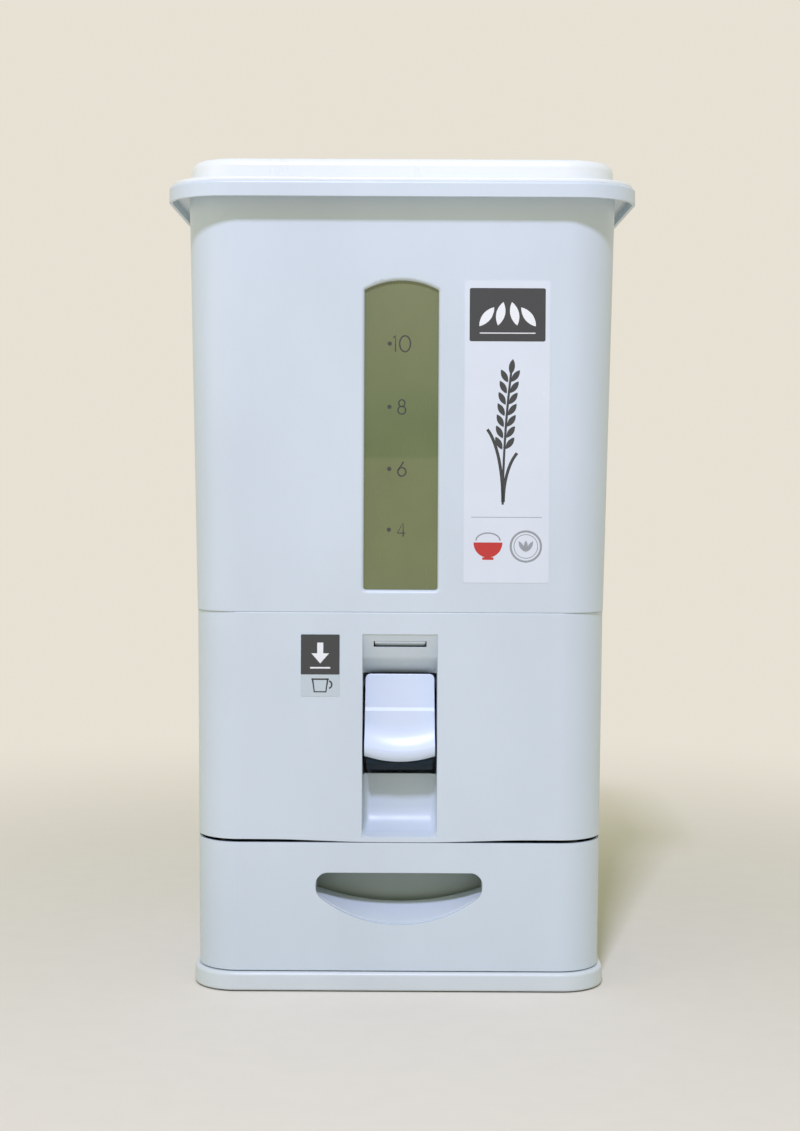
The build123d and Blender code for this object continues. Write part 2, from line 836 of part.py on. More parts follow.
# ---- Press lever -------------------------------------------------------------------------
def paddle_section(x):
    """Side view of the paddle at that X. The lip hangs lowest in the middle."""
    face = housing_front(pivot_height)
    rise = lip_smile * (2 * x / paddle_lip_width) ** 2
    t = paddle_thickness
    top = (face + paddle_top_setback, paddle_top_height)
    crease = (face + crease_setback, crease_height)
    step = (face + crease_setback - crease_step, crease_height - crease_step_height)
    waist = (face + waist_setback, waist_height + rise / 2)
    swell = (face + swell_setback, lip_height + swell_rise + rise)
    nose = (face + lip_setback, lip_height + rise)
    nose_side = (face + lip_setback - 0.2, lip_height - nose_round * 1.2 + rise)
    tip = (face + lip_setback + nose_round, lip_bottom_height + rise)
    inner_nose = (nose[0] + t * 1.5, nose[1] - t * 0.9)
    inner_swell = (swell[0] + t, swell[1] - t * 0.5)
    inner_waist = (waist[0] + t, waist[1])
    inner_crease = (crease[0] + t, crease[1])
    inner_top = (top[0] + t, top[1])
    plane = Plane(origin=(x, 0, 0), x_dir=(0, 1, 0), z_dir=(1, 0, 0))
    lines = [
        Line(top, crease),
        Line(crease, step),
        Line(step, waist),
        ThreePointArc(waist, swell, nose),
        ThreePointArc(nose, nose_side, tip),
        Line(tip, inner_nose),
        ThreePointArc(inner_nose, inner_swell, inner_waist),
        Line(inner_waist, inner_crease),
        Line(inner_crease, inner_top),
        Line(inner_top, top),
    ]
    return plane * make_face(lines)


def paddle_front_shape():
    """Front view of the paddle: a little wider at the lip, round at its upper corners."""
    top = paddle_top_width / 2
    lip = paddle_lip_width / 2
    points = [(-lip, lip_bottom_height - 5), (lip, lip_bottom_height - 5), (top, paddle_top_height)]
    points.append((-top, paddle_top_height))
    face = make_face(Polyline(*points, close=True))
    corners = face.vertices().group_by(Axis.Y)[-1]
    return extrude(Plane.XZ * fillet(corners, paddle_top_corner), far)


def lever_cheek():
    """Side plate from the paddle back to the hub, with the arm to the yoke pin."""
    face = housing_front(pivot_height)
    t = paddle_thickness
    x0 = cheek_inner
    x1 = cheek_inner + cheek_thickness
    plate = side_profile(
        [
            (face + paddle_top_setback + t / 2, paddle_top_height - 1),
            (face + crease_setback + t / 2, crease_height),
            (face + lip_setback + t + 3, lip_height + lip_smile + 3),
            (face + skirt_front_setback, lip_height - lip_drop),
            (face + skirt_front_setback, lip_height - 2 * lip_drop),
            (face + skirt_back_setback, lip_height - 2 * lip_drop),
            (face + skirt_back_setback, scoop_top_height + 6),
            (pivot_y - hub_radius - 1, pivot_height - cheek_drop),
            (pivot_y + 4, pivot_height - 5),
            (pivot_y, pivot_height + 6),
        ],
        x0,
        x1,
    )
    plate &= crosswise(x0, x1, pivot_y, pivot_height, skirt_radius)
    hub = crosswise(x0, hub_outer, pivot_y, pivot_height, hub_radius)
    end = crosswise(x0, x1, pin_rest_y, pin_rest_z, arm_end_radius)
    lean = radians(press_angle / 2)
    half = arm_end_radius
    across = (half * cos(lean), half * -sin(lean))
    arm = side_profile(
        [
            (pivot_y + across[0], pivot_height + across[1]),
            (pin_rest_y + across[0], pin_rest_z + across[1]),
            (pin_rest_y - across[0], pin_rest_z - across[1]),
            (pivot_y - across[0], pivot_height - across[1]),
        ],
        x0,
        x1,
    )
    return merge(plate, hub, end, arm)


def lever_skirt():
    """Curved dust skirt under the lip that closes the gap over the scoop, about the shaft."""
    half = cheek_inner + cheek_thickness
    front = housing_front(pivot_height) + skirt_front_setback
    back = housing_front(pivot_height) + skirt_back_setback
    inner = skirt_radius - skirt_thickness
    ring = crosswise(-half, half, pivot_y, pivot_height, skirt_radius)
    ring -= crosswise(-half - 1, half + 1, pivot_y, pivot_height, inner)
    ring &= block(-half, half, front, back, 0, pivot_height)
    wall = block(-half, half, front, front + skirt_thickness, 0, lip_height)
    wall &= crosswise(-half, half, pivot_y, pivot_height, inner + skirt_thickness / 2)
    return ring + wall


def press_lever():
    half = paddle_lip_width / 2
    stations = [-half, -half / 2, 0, half / 2, half]
    paddle = loft([paddle_section(x) for x in stations])
    paddle = paddle & paddle_front_shape()
    cheek = lever_cheek()
    body = merge(paddle, cheek, mirrored(cheek)) - lever_skirt()
    body -= crosswise(-far / 4, far / 4, pivot_y, pivot_height, shaft_radius + fit_gap)
    body -= crosswise(-far / 4, far / 4, pin_rest_y, pin_rest_z, yoke_pin_radius + 0.02)
    return body


def lever_shaft():
    reach = ear_inner + ear_thickness + 1.6
    return crosswise(-reach, reach, pivot_y, pivot_height, shaft_radius)


def shaft_clips():
    x0 = ear_inner + ear_thickness
    ring = crosswise(x0, x0 + 1.0, pivot_y, pivot_height, shaft_radius + 2.5)
    ring -= crosswise(x0 - 1, x0 + 2, pivot_y, pivot_height, shaft_radius)
    ring -= block(x0 - 1, x0 + 2, pivot_y, pivot_y + 10, pivot_height - 1.6, pivot_height + 1.6)
    return group([ring, mirrored(ring)])


def yoke_pin():
    return crosswise(-pin_reach, pin_reach, pin_rest_y, pin_rest_z, yoke_pin_radius)


def lever_spring():
    """Torsion spring round the shaft: coil, a leg on the paddle and a leg on the brow."""
    half = spring_coil_half
    bore = shaft_radius + spring_gap
    coil = crosswise(-half, half, pivot_y, pivot_height, bore + 2 * spring_wire)
    coil -= crosswise(-half - 1, half + 1, pivot_y, pivot_height, bore)
    face = housing_front(pivot_height)
    paddle_back = face + crease_setback + paddle_thickness + spring_wire + 0.6
    leg_x = half - spring_wire
    low_start = (pivot_y, pivot_height - bore - spring_wire)
    low_leg = leg(leg_x, low_start, (paddle_back, crease_height + spring_leg_rise))
    brow_back = face + opening_top_setback - recess_wall
    high_start = (pivot_y, pivot_height + bore + spring_wire)
    high_leg = leg(-leg_x, high_start, (brow_back, opening_top_height + spring_leg_reach))
    return merge(coil, low_leg, high_leg)


def leg(x, start, end):
    """Straight wire between two (y, z) points."""
    run = hypot(end[0] - start[0], end[1] - start[1])
    lean = degrees(atan2(end[1] - start[1], end[0] - start[0]))
    middle = Pos(x, (start[0] + end[0]) / 2, (start[1] + end[1]) / 2)
    return middle * Rot(lean, 0, 0) * Rot(90, 0, 0) * Cylinder(spring_wire, run)


def dose_label():
    plane = face_plane(housing_front, housing_slope, housing_top)
    middle = -dose_label_top - dose_label_height / 2
    film = Pos(dose_label_x, middle) * RectangleRounded(dose_label_width, dose_label_height, 1.0)
    return extrude(plane * film, label_film)


def hopper_latch():
    """Springy tongue under the hopper, its nose showing in the slot of the brow."""
    face = housing_front(brow_height)
    half = latch_width / 2 - latch_gap
    nose_bottom = latch_top_height - latch_height + latch_bottom_gap
    y_back = latch_back()
    nose_top = latch_top_height - latch_top_gap
    tongue = block(-half, half, y_back - latch_thickness, y_back, nose_bottom - 2, hopper_bottom)
    nose = block(-half, half, face, y_back, nose_bottom, nose_top) - recess_block(0)
    return merge(tongue, nose)


def latch_back():
    """Y of the tongue's back, flush with the inner edge of the hopper's flange."""
    return -hopper_depth / 2 + hopper_wall + hopper_flange


def latch_way():
    """Slot in the housing's top ledge that the tongue passes through."""
    half = latch_width / 2
    front = latch_back() - latch_thickness - run_gap
    return block(-half, half, front, latch_back() + 5, housing_top - 5, housing_top + 1)


# ---- Shutter slide and guides ------------------------------------------------------------
def shutter_slide():
    upper_z = (upper_blade_bottom, upper_blade_top)
    lower_z = (lower_blade_bottom, lower_blade_top)
    upper = block(-blade_edge, blade_edge, slide_front, upper_blade_back, *upper_z)
    lower = block(-blade_edge, blade_edge, lower_blade_front, lower_blade_back, *lower_z)
    bar_z = (lower_blade_bottom, upper_blade_top)
    bar = block(bar_inner, bar_outer, slide_front, lower_blade_back, *bar_z)
    half = tongue_width / 2
    web_back = slide_front + slide_web
    web = block(-bar_outer, bar_outer, slide_front, web_back, lower_blade_top, upper_blade_bottom + 0.5)
    window_z = (lower_blade_top + web_window_end, upper_blade_bottom - web_window_end)
    window = block(half + web_window_middle, bar_outer - web_window_side, -far, far, *window_z)
    web = web - window - mirrored(window)
    shelf = block(-bar_outer, bar_outer, slide_front, lower_blade_front + 1, *lower_z)
    fork_front = pin_rest_y - yoke_pin_radius - yoke_slot_gap - fork_prong
    fork_back = pin_rest_y + yoke_pin_radius + yoke_slot_gap + fork_prong
    tongue_bottom = pin_rest_z + yoke_pin_radius + 1.2
    tongue_top = tongue_bottom + tongue_thickness
    tongue = block(-half, half, fork_front, slide_front + 1, tongue_bottom, tongue_top)
    gusset = side_profile(
        [
            (slide_front + 0.5, tongue_bottom - gusset_height),
            (slide_front + 0.5, tongue_bottom + 0.5),
            (slide_front - gusset_length, tongue_bottom + 0.5),
        ],
        -slide_web,
        slide_web,
    )
    fork_bottom = pin_low_z - fork_reach
    fork = block(-half, half, fork_front, fork_back, fork_bottom, tongue_bottom + 1)
    pin_way = yoke_pin_radius + yoke_slot_gap
    fork -= block(-far, far, pin_rest_y - pin_way, pin_rest_y + pin_way, fork_bottom - 1, tongue_bottom)
    return merge(upper, lower, bar, mirrored(bar), web, shelf, tongue, gusset, fork)


def guide_rail(side):
    body = block(guide_inner, guide_outer, guide_front, guide_back, deck_top, guide_top)
    foot_top = deck_top + guide_foot_thickness
    foot_outer = guide_outer + guide_foot
    body += block(guide_outer - 1, foot_outer, guide_front, guide_back, deck_top, foot_top)
    reach = guide_inner + guide_groove
    for z0, z1 in ((upper_blade_bottom, upper_blade_top), (lower_blade_bottom, lower_blade_top)):
        body -= block(guide_inner - 1, reach, -far, guide_back - 2, z0 - 0.3, z1 + 0.3)
    for y in guide_screw_rows():
        body -= bore_up(guide_outer + guide_foot / 2, y, deck_top - 1, foot_top + 1)
    for z in plate_screw_rows():
        tip = guide_back - plate_screw_length - 1
        body -= lengthwise(plate_screw_x(), tip, guide_back + 1, z, screw_radius + fit_gap)
    return body if side > 0 else mirrored(body)


def guide_screw_rows():
    return (guide_front + guide_screw_inset, guide_back - guide_screw_inset)


def plate_screw_x():
    return (guide_inner + guide_groove + guide_outer) / 2


def plate_screw_rows():
    return (deck_top + plate_screw_low, guide_top - plate_screw_high)


def guide_screws():
    places = [(sx * (guide_outer + guide_foot / 2), y) for sx in (-1, 1) for y in guide_screw_rows()]
    seat = deck_top + guide_foot_thickness
    return group([screw_down(x, y, seat, deck_height - 2) for x, y in places])


# ---- Dosing chamber ----------------------------------------------------------------------
def dosing_chamber():
    """One-measure well, carried on ribs from a plate behind it."""
    outer = slab(
        2 * chamber_half_x,
        slot_depth + 2 * chamber_wall,
        slot_corner + chamber_wall,
        chamber_floor_height,
        chamber_top,
    )
    wells = slab(slot_width, slot_depth, slot_corner, chamber_floor_height - 1, chamber_top + 1)
    plate_y0 = guide_back
    plate_y1 = plate_y0 + rib_thickness
    plate = block(-guide_outer, guide_outer, plate_y0, plate_y1, deck_top + 2, guide_top)
    body = merge(outer, plate)
    for x in (-chamber_rib_x, 0, chamber_rib_x):
        half = rib_thickness / 2
        rib_z = (chamber_floor_height + rib_thickness, chamber_top - rib_thickness)
        body += block(x - half, x + half, slot_half + 1, plate_y0 + 1, *rib_z)
    body -= wells
    for side in (-1, 1):
        for z in plate_screw_rows():
            x = side * plate_screw_x()
            body -= lengthwise(x, plate_y0 - 1, plate_y0 + 5, z, screw_radius + fit_gap)
    return body


def chamber_screws():
    screws = []
    seat = guide_back + rib_thickness
    for side in (-1, 1):
        for z in plate_screw_rows():
            x = side * plate_screw_x()
            head = lengthwise(x, seat, seat + screw_head_height, z, screw_head_radius)
            tip = guide_back - plate_screw_length
            screws.append(head + lengthwise(x, tip, seat + 0.5, z, screw_radius))
    return group(screws)


def discharge_chute():
    width = slot_width + 2 * chute_margin
    depth = slot_depth + 2 * chute_margin
    t = chamber_wall
    tube = slab(width + 2 * t, depth + 2 * t, slot_corner + t, chute_bottom_height, chute_top)
    flange_width = 2 * (guide_inner - run_gap)
    flange_depth = depth + 2 * (t + chute_flange)
    flange_z = (deck_top, deck_top + chute_flange_thickness)
    flange = slab(flange_width, flange_depth, slot_corner + t, *flange_z)
    body = tube + flange
    body -= slab(width, depth, slot_corner, chute_bottom_height - 1, chute_top + 1)
    for x, y in chute_screw_places():
        body -= bore_up(x, y, deck_top - 1, deck_top + 4)
    return body


def chute_screw_places():
    y = slot_half + chute_margin + chamber_wall + chute_flange / 2
    return [(sx * chute_screw_x, sy * y) for sx in (-1, 1) for sy in (-1, 1)]


def chute_screws():
    seat = deck_top + chute_flange_thickness
    return group([screw_down(x, y, seat, deck_height - 2) for x, y in chute_screw_places()])


def mechanism_deck():
    plate = extrude(housing_outline(deck_height, housing_wall + slip_gap), deck_thickness)
    face = housing_front(pivot_height)
    notch = recess_face_width / 2 + recess_wall + run_gap
    plate -= block(-notch, notch, -far, face + scoop_setback + recess_wall + run_gap, 0, far)
    around = 2 * (chute_margin + chamber_wall + slip_gap)
    plate -= slab(
        slot_width + around,
        slot_depth + around,
        slot_corner + chamber_wall,
        deck_height - 1,
        deck_top + 1,
    )
    holes = deck_screw_places() + chute_screw_places()
    holes += [(sx * (guide_outer + guide_foot / 2), y) for sx in (-1, 1) for y in guide_screw_rows()]
    for x, y in holes:
        plate -= bore_up(x, y, deck_height - 1, deck_top + 1)
    return plate


def deck_screws():
    tip = deck_top + deck_boss_height - 5
    return group([screw_up(x, y, deck_height, tip) for x, y in deck_screw_places()])


# ---- Base and feet -----------------------------------------------------------------------
def foot_places():
    x = base_width / 2 - foot_inset_x
    y = base_depth / 2 - foot_inset_y
    return [(sx * x, sy * y) for sx in (-1, 1) for sy in (-1, 1)]


def base_tray():
    body = slab(base_width, base_depth, base_corner, base_bottom, base_top)
    body = fillet(body.faces().sort_by(Axis.Z)[-1].edges(), base_edge_round)
    body = fillet(body.faces().sort_by(Axis.Z)[0].edges(), base_edge_round * 0.6)
    t = base_plate + 1.2
    body -= slab(base_width - 2 * t, base_depth - 2 * t, base_corner - t, 0, base_top - base_plate)
    for x, y in foot_places():
        body += upright(x, y, base_bottom, base_top - 1, foot_radius + foot_socket_wall)
        body -= upright(x, y, 0, foot_thickness, foot_radius + fit_gap)
    for x, y in base_screw_places():
        body += upright(x, y, base_bottom + 5, base_top - 1, screw_head_radius + 2.5)
        body -= upright(x, y, 0, base_top - base_plate, screw_head_radius + 0.3)
        body -= bore_up(x, y, 0, base_top + 1)
    for x, y in rail_screw_places():
        body -= bore_up(x, y, 0, base_top + 1)
    return body


def rubber_feet():
    return group([upright(x, y, 0, foot_thickness, foot_radius) for x, y in foot_places()])


def base_screws():
    seat = base_top - base_plate
    tip = base_top + base_boss_height - 3
    return group([screw_up(x, y, seat, tip) for x, y in base_screw_places()])


# ---- Drawer rails ------------------------------------------------------------------------
def rail_screw_places():
    x = rail_web_inner - rail_screw_side
    rows = (rail_front + rail_screw_inset, rail_back - rail_screw_inset)
    return [(sx * x, y) for sx in (-1, 1) for y in rows]


def drawer_rail(side):
    """Channel beside the drawer that its runner slides in."""
    web_outer = rail_web_inner + rail_wall
    ledge_top = runner_bottom_height - rail_run_gap
    roof = runner_top + stop_lug_height + 0.5
    body = block(rail_web_inner, web_outer, rail_front, rail_back, base_top, roof + rail_wall)
    reach = rail_web_inner + 1
    body += block(rail_inner, reach, rail_front, rail_back, ledge_top - rail_wall, ledge_top)
    body += block(rail_inner + 1, reach, rail_front, rail_back, roof, roof + rail_wall)
    foot_inner = rail_inner - rail_side_gap
    body += block(foot_inner, reach, rail_front, rail_back, base_top, base_top + rail_foot)
    stop_back = stop_lug_front() - drawer_travel - 0.5
    stop_front = stop_back - stop_lug_length - 1
    body += block(rail_inner + 1, reach, stop_front, stop_back, runner_top + 0.5, roof + 1)
    for x, y in rail_screw_places():
        body -= bore_up(abs(x), y, base_top - 1, base_top + rail_foot + 1)
    return body if side > 0 else mirrored(body)


def stop_lug_front():
    return tub_back - 2 - stop_lug_length


def rail_screws():
    tip = base_top + rail_foot + 1.5
    return group([screw_up(x, y, base_top - base_plate, tip) for x, y in rail_screw_places()])


# ---- Drawer ------------------------------------------------------------------------------
def grip_shape():
    """Front view of the hand opening: straight top, deep curved foot."""
    half = grip_width / 2
    lines = [
        Line((-half, grip_top_height), (half, grip_top_height)),
        Line((half, grip_top_height), (half, grip_side_height)),
        ThreePointArc((half, grip_side_height), (0, grip_bottom_height), (-half, grip_side_height)),
        Line((-half, grip_side_height), (-half, grip_top_height)),
    ]
    face = make_face(lines)
    face = fillet(face.vertices().group_by(Axis.Y)[-1], grip_corner)
    side_corners = [v for v in face.vertices() if abs(v.Y - grip_side_height) < 0.01]
    return fillet(side_corners, grip_lower_corner)


def grip_edge_height(x):
    """Height of the hand opening's curved foot, carried on past its corners."""
    sag = grip_side_height - grip_bottom_height
    radius = ((grip_width / 2) ** 2 + sag**2) / (2 * sag)
    return grip_bottom_height + radius - sqrt(radius**2 - x**2)


def pocket_band(half, side, bottom, thickness, y):
    """Curved strip across the pocket's floor, in a plane across Y."""
    plane = Plane(origin=(0, y, 0), x_dir=(1, 0, 0), z_dir=(0, -1, 0))
    lines = [
        ThreePointArc((-half, side), (0, bottom), (half, side)),
        Line((half, side), (half, side - thickness)),
        ThreePointArc((half, side - thickness), (0, bottom - thickness), (-half, side - thickness)),
        Line((-half, side - thickness), (-half, side)),
    ]
    return plane * make_face(lines)


def drawer_front():
    top_block = housing_block(drawer_bottom, drawer_top, 0)
    body = top_block - housing_block(drawer_bottom - 1, drawer_top + 1, drawer_wall)
    body = body & block(-far, far, -far, jamb_y - 0.5, 0, far)
    front = housing_front(grip_bottom_height)
    deep = front + pocket_depth
    half = grip_width / 2
    outer = half + pocket_wall
    lip_side = grip_edge_height(outer)
    lip = pocket_band(outer, lip_side, grip_bottom_height, pocket_lip, front + 0.6)
    floor_end = pocket_band(outer, pocket_side_height, pocket_floor_height, pocket_floor, deep)
    floor = loft([lip, floor_end], ruled=True)
    side_wall = side_profile(
        [
            (front + 1, grip_top_height + pocket_wall),
            (deep, grip_top_height + pocket_wall),
            (deep, pocket_side_height - pocket_floor / 2),
            (front + 1, grip_side_height - pocket_lip / 2),
        ],
        half,
        outer,
    )
    skin = housing_block(drawer_bottom, drawer_top, 0.2)
    extras = merge(floor, side_wall, mirrored(side_wall)) & skin
    body += extras
    grip_cut = extrude(Plane.XZ * grip_shape(), far)
    body -= grip_cut & block(-far, far, -far, front + drawer_wall + 1.2, 0, far)
    for x in (-drawer_screw_x(), drawer_screw_x()):
        for z in drawer_screw_rows():
            body += lengthwise(x, front + 1, tub_front, z, boss_radius) & skin
            body -= lengthwise(x, front + 8, tub_front + 1, z, screw_radius + fit_gap)
    return body


def drawer_screw_x():
    return grip_width / 2 + drawer_screw_gap


def drawer_screw_rows():
    return (tub_bottom_height + drawer_screw_inset, tub_top - drawer_screw_inset)


def drawer_tub():
    depth = tub_back - tub_front
    middle = Pos(0, (tub_back + tub_front) / 2, 0)
    outer = middle * slab(tub_width, depth, tub_corner, tub_bottom_height, tub_top)
    inner = middle * slab(
        tub_width - 2 * tub_wall,
        depth - 2 * tub_wall,
        tub_corner - tub_wall,
        tub_bottom_height + tub_wall,
        tub_top + 1,
    )
    lip = middle * slab(tub_width + 2 * tub_lip, depth, tub_corner, tub_top - tub_wall, tub_top)
    lug_front = stop_lug_front()
    runner = block(
        tub_width / 2 - 1,
        tub_width / 2 + runner_width,
        tub_front + tub_corner,
        tub_back - 2,
        runner_bottom_height,
        runner_top,
    )
    lug_x1 = tub_width / 2 + runner_width
    lug_x0 = lug_x1 - stop_lug_width
    lug_back = lug_front + stop_lug_length
    lug_top = runner_top + stop_lug_height
    runner += block(lug_x0, lug_x1, lug_front, lug_back, runner_top - 1, lug_top)
    body = merge(outer, lip, runner, mirrored(runner)) - inner
    for x in (-drawer_screw_x(), drawer_screw_x()):
        for z in drawer_screw_rows():
            body -= lengthwise(x, tub_front - 1, tub_front + 5, z, screw_radius + fit_gap)
    return body


def drawer_screws():
    screws = []
    seat = tub_front + tub_wall
    for x in (-drawer_screw_x(), drawer_screw_x()):
        for z in drawer_screw_rows():
            head = lengthwise(x, seat, seat + screw_head_height, z, screw_head_radius)
            tip = tub_front - drawer_screw_length
            screws.append(head + lengthwise(x, tip, seat + 0.5, z, screw_radius))
    return group(screws)


# ---- All pieces --------------------------------------------------------------------------
pieces = {
    "lid": lid,
    "lid_seal": lid_seal,
    "hopper_shell": hopper_shell,
    "window_pane": window_pane,
    "window_retainer": window_retainer,
    "info_label": info_label,
    "funnel": funnel,
    "funnel_gasket": funnel_gasket,
    "funnel_screws": funnel_screws,
    "hopper_latch": hopper_latch,
    "lower_housing": lower_housing,
    "dose_label": dose_label,
    "press_lever": press_lever,
    "lever_skirt": lever_skirt,
    "lever_shaft": lever_shaft,
    "shaft_clips": shaft_clips,
    "lever_spring": lever_spring,
    "yoke_pin": yoke_pin,
    "shutter_slide": shutter_slide,
    "guide_rail_left": lambda: guide_rail(-1),
    "guide_rail_right": lambda: guide_rail(1),
    "guide_screws": guide_screws,
    "dosing_chamber": dosing_chamber,
    "chamber_screws": chamber_screws,
    "discharge_chute": discharge_chute,
    "chute_screws": chute_screws,
    "mechanism_deck": mechanism_deck,
    "deck_screws": deck_screws,
    "base_tray": base_tray,
    "rubber_feet": rubber_feet,
    "base_screws": base_screws,
    "drawer_rail_left": lambda: drawer_rail(-1),
    "drawer_rail_right": lambda: drawer_rail(1),
    "rail_screws": rail_screws,
    "drawer_front": drawer_front,
    "drawer_tub": drawer_tub,
    "drawer_screws": drawer_screws,
}

os.makedirs("parts", exist_ok=True)
for name, make in pieces.items():
    export_step(make(), f"parts/{name}.step")
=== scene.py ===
import json
from math import atan, cos, pi, radians, sin

import bpy
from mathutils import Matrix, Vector


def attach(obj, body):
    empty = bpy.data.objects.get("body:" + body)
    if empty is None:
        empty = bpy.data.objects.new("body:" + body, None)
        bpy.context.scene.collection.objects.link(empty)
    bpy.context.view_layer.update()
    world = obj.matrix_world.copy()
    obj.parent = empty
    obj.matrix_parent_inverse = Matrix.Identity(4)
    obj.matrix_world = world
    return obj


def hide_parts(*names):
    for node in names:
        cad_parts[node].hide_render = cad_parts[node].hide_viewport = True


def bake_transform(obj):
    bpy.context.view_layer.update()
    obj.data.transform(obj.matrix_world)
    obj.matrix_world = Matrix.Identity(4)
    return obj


# A household rice dispenser: hopper with a level window over a housing with a press lever
# and a pull-out drawer. Metres, front towards -Y, up is +Z.
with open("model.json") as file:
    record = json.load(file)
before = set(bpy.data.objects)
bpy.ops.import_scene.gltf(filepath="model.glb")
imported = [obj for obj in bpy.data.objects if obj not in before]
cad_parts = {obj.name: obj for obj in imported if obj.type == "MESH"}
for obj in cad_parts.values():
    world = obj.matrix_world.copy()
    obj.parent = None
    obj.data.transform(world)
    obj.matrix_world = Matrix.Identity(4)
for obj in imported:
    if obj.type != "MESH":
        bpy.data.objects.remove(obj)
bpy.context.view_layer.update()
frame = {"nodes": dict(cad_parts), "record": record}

nodes = frame["nodes"]
slot_of = {row["node"]: row["material_slot"] for row in frame["record"]["subparts"]}
body_of = {
    node: body
    for body, members in frame["record"]["behaviour"]["bodies"].items()
    for node in members
}

# ---- Sizes read off the object -------------------------------------------------------------
hopper_foot = Vector((0.0, -0.130, 0.301))
hopper_lean = atan(0.0083 / 0.339)
housing_head = Vector((0.0, -0.130, 0.301))
housing_lean = atan(0.003 / 0.2855)
pane_depth = 0.0038
film_depth = 0.00025
ink_thickness = 0.00006


# ---- Small helpers -------------------------------------------------------------------------
def select_only(piece):
    bpy.ops.object.select_all(action="DESELECT")
    piece.select_set(True)
    bpy.context.view_layer.objects.active = piece


def edit(piece, select="SELECT"):
    """Opens a piece in edit mode with all, or none, of it selected."""
    select_only(piece)
    bpy.ops.object.mode_set(mode="EDIT")
    bpy.ops.mesh.select_all(action=select)


def close_edit():
    bpy.ops.object.mode_set(mode="OBJECT")


def paint(piece, material):
    piece.data.materials.clear()
    piece.data.materials.append(material)


def seat(piece, body, material=None):
    """Hangs a finished piece on its body and names its finish."""
    if material is not None:
        paint(piece, material)
    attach(piece, body)
    return piece


def apply_place(piece):
    select_only(piece)
    bpy.ops.object.transform_apply(location=True, rotation=True, scale=True)


def lay_on_face(piece, foot, lean, x, up, inward=0.0):
    """Lays a flat piece, drawn in XY, on a leaning front face at that place."""
    height = Vector((0.0, -sin(lean), cos(lean)))
    outward = Vector((0.0, -cos(lean), -sin(lean)))
    piece.rotation_euler = (radians(90) + lean, 0.0, 0.0)
    piece.location = foot + Vector((x, 0.0, 0.0)) + height * up - outward * inward
    apply_place(piece)
    return piece


def joined(name, pieces):
    select_only(pieces[0])
    for piece in pieces:
        piece.select_set(True)
    if len(pieces) > 1:
        bpy.ops.object.join()
    pieces[0].name = name
    pieces[0].data.name = name
    return pieces[0]


# ---- Materials -----------------------------------------------------------------------------
def new_material(name):
    material = bpy.data.materials.new(name)
    material.use_nodes = True
    tree = material.node_tree
    return material, tree, tree.nodes["Principled BSDF"]


def object_noise(tree, scale, detail=3.0, stretch=(1.0, 1.0, 1.0), turn=(0.0, 0.0, 0.0)):
    """Noise in the object's own coordinates, in cells per metre."""
    place = tree.nodes.new("ShaderNodeTexCoord")
    mapping = tree.nodes.new("ShaderNodeMapping")
    mapping.inputs["Scale"].default_value = stretch
    mapping.inputs["Rotation"].default_value = turn
    noise = tree.nodes.new("ShaderNodeTexNoise")
    noise.inputs["Scale"].default_value = scale
    noise.inputs["Detail"].default_value = detail
    tree.links.new(place.outputs["Object"], mapping.inputs["Vector"])
    tree.links.new(mapping.outputs["Vector"], noise.inputs["Vector"])
    return noise.outputs["Fac"]


def two_tone(tree, factor, first, second, low=0.35, high=0.65):
    """Blend of two colours along a noise."""
    ramp = tree.nodes.new("ShaderNodeValToRGB")
    ramp.color_ramp.elements[0].position = low
    ramp.color_ramp.elements[1].position = high
    ramp.color_ramp.elements[0].color = (*first, 1.0)
    ramp.color_ramp.elements[1].color = (*second, 1.0)
    tree.links.new(factor, ramp.inputs["Fac"])
    return ramp.outputs["Color"]


def spread(tree, factor, low, high):
    """Noise stretched to a range."""
    stretch = tree.nodes.new("ShaderNodeMapRange")
    stretch.inputs["From Min"].default_value = 0.3
    stretch.inputs["From Max"].default_value = 0.7
    stretch.inputs["To Min"].default_value = low
    stretch.inputs["To Max"].default_value = high
    tree.links.new(factor, stretch.inputs["Value"])
    return stretch.outputs["Result"]


def bump(tree, shader, height, depth, strength=1.0, under=None):
    relief = tree.nodes.new("ShaderNodeBump")
    relief.inputs["Strength"].default_value = strength
    relief.inputs["Distance"].default_value = depth
    tree.links.new(height, relief.inputs["Height"])
    if under is not None:
        tree.links.new(under.outputs["Normal"], relief.inputs["Normal"])
    tree.links.new(relief.outputs["Normal"], shader.inputs["Normal"])
    return relief


def shade_of(colour, share):
    return tuple(min(1.0, channel * share) for channel in colour)


def moulded_plastic(
    name, colour, roughness, depth=0.00001, coat=0.0, coat_haze=0.28, edge=0.0007, mottle=0.03
):
    """Injection-moulded plastic: slow shifts of tone, faint flow marks and a fine skin."""
    material, tree, shader = new_material(name)
    slow = object_noise(tree, 9.0, 4.0, stretch=(1.0, 1.0, 0.55))
    tone = two_tone(tree, slow, shade_of(colour, 1 - mottle), shade_of(colour, 1 + mottle))
    tree.links.new(tone, shader.inputs["Base Color"])
    flow = object_noise(tree, 70.0, 5.0, stretch=(1.0, 1.0, 0.3))
    gloss = spread(tree, flow, roughness * 0.88, roughness * 1.12)
    tree.links.new(gloss, shader.inputs["Roughness"])
    edges = tree.nodes.new("ShaderNodeBevel")
    edges.samples = 6
    edges.inputs["Radius"].default_value = edge
    waves = bump(tree, shader, object_noise(tree, 28.0, 1.0), 0.00025, 0.25, edges)
    bump(tree, shader, object_noise(tree, 1400.0, 2.0), depth, 0.6, waves)
    shader.inputs["Coat Weight"].default_value = coat
    shader.inputs["Coat Roughness"].default_value = coat_haze
    shader.inputs["Subsurface Weight"].default_value = 0.04
    shader.inputs["Subsurface Radius"].default_value = (0.004, 0.0045, 0.005)
    return material


